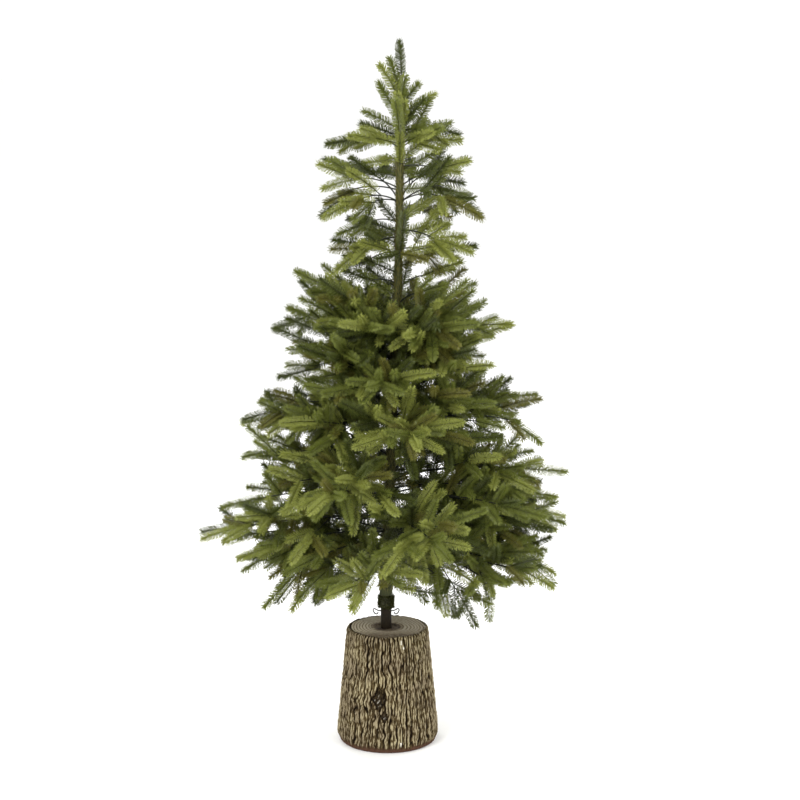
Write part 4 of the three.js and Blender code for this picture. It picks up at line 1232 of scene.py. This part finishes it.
class CHRISTMASTREE_OT_limbs(Operator):
    """Tape-wound boughs, the coated wires of the twigs and the ribs of the sprays"""

    bl_idname = "christmas_tree.limbs"
    bl_label = "Boughs and twigs"

    def execute(self, context):
        settings = context.scene.tree_pole
        sprays = context.scene.fir_sprays
        boughs, wires, shoots = grown()
        tape = tape_finish("Crepe_tape_bough", settings.tape, 12)
        nodes = [n for n in NODES if n.startswith("bough_")]
        piece("boughs_taped", bar_mesh("boughs_taped", boughs, 2), [tape], nodes)
        stem = [(Vector((pole_at(min(z, 1692))[0], 0, z)), r * 0.8) for z, r in LEADER_STEM]
        coated = needle_finish("Coated_wire", sprays.wire, 0.42)
        piece("twig_wires", bar_mesh("twig_wires", [*wires, stem]), [coated])
        ribs = []
        for shoot in shoots:
            at, _ = axis_of(shoot, rng_for(shoot))
            place, _ = at(np.linspace(0, 1, 3))
            ribs.append([(Vector(p), RIB_RADIUS * (1 - 0.24 * i)) for i, p in enumerate(place)])
        moulded = needle_finish("Spray_ribs", sprays.rib)
        piece("spray_ribs", bar_mesh("spray_ribs", ribs, 0), [moulded])
        return {"FINISHED"}


def rng_for(spray):
    """Random numbers that are a spray's own, so that its rib and its needles bend alike."""
    place = spray[1]
    return np.random.default_rng([int(abs(v) * 64) for v in place] + [int(spray[4] * 64)])


def tint_of(spray):
    """A spray's tint, partly dealt at random: lighter outside, in front and at the top as painted highlight,
    deeper inside and behind as painted shade, and here and there a browner olive.
    """
    dealt, stray = rng_for(spray).random(2)
    # Inner and back sprays take the deep tint as painted shade, and outer and front ones the light tint as
    # painted highlight.
    behind = smooth(-240, 40, spray[1].y)
    if dealt < 0.1:
        return "olive"
    if spray[5] + 0.5 * (stray - 0.5) > 0.72 or dealt > 0.9 - 0.12 * behind:
        return "deep_and_painted_shade"
    return "light" if dealt < (0.52 if spray[0] > 5 else 0.54 - 0.3 * behind) else "fresh"


class CHRISTMASTREE_OT_needles(Operator):
    """Needles of every spray, joined by height and tint"""

    bl_idname = "christmas_tree.needles"
    bl_label = "Needles"

    def execute(self, context):
        settings = context.scene.fir_sprays
        _, _, sprays = grown()
        tints = {tint: needle_finish("Moulded_needles_" + tint, getattr(settings, tint)) for tint in TINTS}
        for band, tiers in BANDS.items():
            masses = ["foliage_leader"] if 9 in tiers else []
            masses += [n for n in NODES if n.startswith(tuple(f"foliage_tier_{t + 1}_" for t in tiers))]
            for tint in TINTS:
                groups = [spray_needles(s, settings, rng_for(s)) for s in sprays
                          if s[0] in tiers and tint_of(s) == tint]
                if not groups:
                    continue
                mesh = needle_mesh(f"needles_{band}_{tint}", groups)
                if len(mesh.polygons) > MOST_FACES:
                    raise RuntimeError(f"{mesh.name} has {len(mesh.polygons)} faces")
                piece(mesh.name, mesh, [tints[tint]], masses)
        return {"FINISHED"}


# Stage


class CHRISTMASTREE_OT_studio(Operator):
    """Pale floor, soft lights and the camera"""

    bl_idname = "christmas_tree.studio"
    bl_label = "Studio"

    def execute(self, context):
        scene, settings = context.scene, context.scene.studio
        bm = bmesh.new()
        bmesh.ops.create_circle(bm, cap_ends=True, segments=96, radius=60)
        mesh = bpy.data.meshes.new("floor")
        bm.to_mesh(mesh)
        bm.free()
        floor = bpy.data.objects.new("floor", mesh)
        scene.collection.objects.link(floor)
        material, _, shader = finish("Pale_floor")
        shader.inputs["Base Color"].default_value = settings.floor
        shader.inputs["Roughness"].default_value = 0.9
        mesh.materials.append(material)

        world = bpy.data.worlds.new("studio")
        world.use_nodes = True
        world.node_tree.nodes["Background"].inputs[0].default_value = (1, 1, 1, 1)
        world.node_tree.nodes["Background"].inputs[1].default_value = settings.sky
        scene.world = world
        aim = Vector((VIEW_ACROSS * MM, 0, settings.aim_height))
        lights = [
            ("key", (-2.4, -3.4, 3.6), 2.4, settings.key),
            ("fill", (3.0, -2.6, 2.2), 2.2, settings.fill),
            ("back", (-1.5, 3.6, 3.2), 2.2, settings.fill),
            ("side", (3.4, 2.4, 2.8), 2.2, settings.fill),
        ]
        for name, place, size, power in lights:
            light = bpy.data.lights.new(name, "AREA")
            light.shape = "DISK"
            light.size = size
            light.energy = power
            lamp = bpy.data.objects.new(name, light)
            lamp.location = place
            lamp.rotation_euler = (aim - lamp.location).to_track_quat("-Z", "Y").to_euler()
            scene.collection.objects.link(lamp)

        data = bpy.data.cameras.new("camera")
        data.lens = settings.lens
        data.sensor_width = 36
        camera = bpy.data.objects.new("camera", data)
        camera.location = (VIEW_ACROSS * MM, -settings.camera_distance, settings.camera_height)
        camera.rotation_euler = (aim - camera.location).to_track_quat("-Z", "Y").to_euler()
        scene.collection.objects.link(camera)
        scene.camera = camera
        scene.view_settings.view_transform = "Standard"
        return {"FINISHED"}


class CHRISTMASTREE_PT_pieces(Panel):
    """Buttons for every piece of the tree, with its sizes and colours"""

    bl_label = "Christmas tree"
    bl_idname = "CHRISTMASTREE_PT_pieces"
    bl_space_type = "VIEW_3D"
    bl_region_type = "UI"
    bl_category = "Christmas Tree"

    def draw(self, context):
        for operator in OPERATORS:
            self.layout.operator(operator.bl_idname)
        for name in SETTINGS:
            box = self.layout.box()
            settings = getattr(context.scene, name)
            for key in settings.__annotations__:
                box.prop(settings, key)


OPERATORS = (
    CHRISTMASTREE_OT_log_stand,
    CHRISTMASTREE_OT_socket,
    CHRISTMASTREE_OT_pole,
    CHRISTMASTREE_OT_cuff,
    CHRISTMASTREE_OT_limbs,
    CHRISTMASTREE_OT_needles,
    CHRISTMASTREE_OT_studio,
)
SETTINGS = {
    "log_stand": LogStandSettings,
    "tree_pole": PoleSettings,
    "fir_sprays": SpraySettings,
    "studio": StudioSettings,
}
CLASSES = (*SETTINGS.values(), *OPERATORS, CHRISTMASTREE_PT_pieces)


def register():
    for cls in CLASSES:
        bpy.utils.register_class(cls)
    for name, cls in SETTINGS.items():
        setattr(bpy.types.Scene, name, PointerProperty(type=cls))


def unregister():
    for name in SETTINGS:
        delattr(bpy.types.Scene, name)
    for cls in reversed(CLASSES):
        bpy.utils.unregister_class(cls)


def main():
    register()
    bpy.ops.christmas_tree.log_stand()
    bpy.ops.christmas_tree.socket()
    bpy.ops.christmas_tree.pole()
    bpy.ops.christmas_tree.cuff()
    bpy.ops.christmas_tree.limbs()
    bpy.ops.christmas_tree.needles()
    bpy.ops.christmas_tree.studio()


if __name__ == "__main__":
    main()
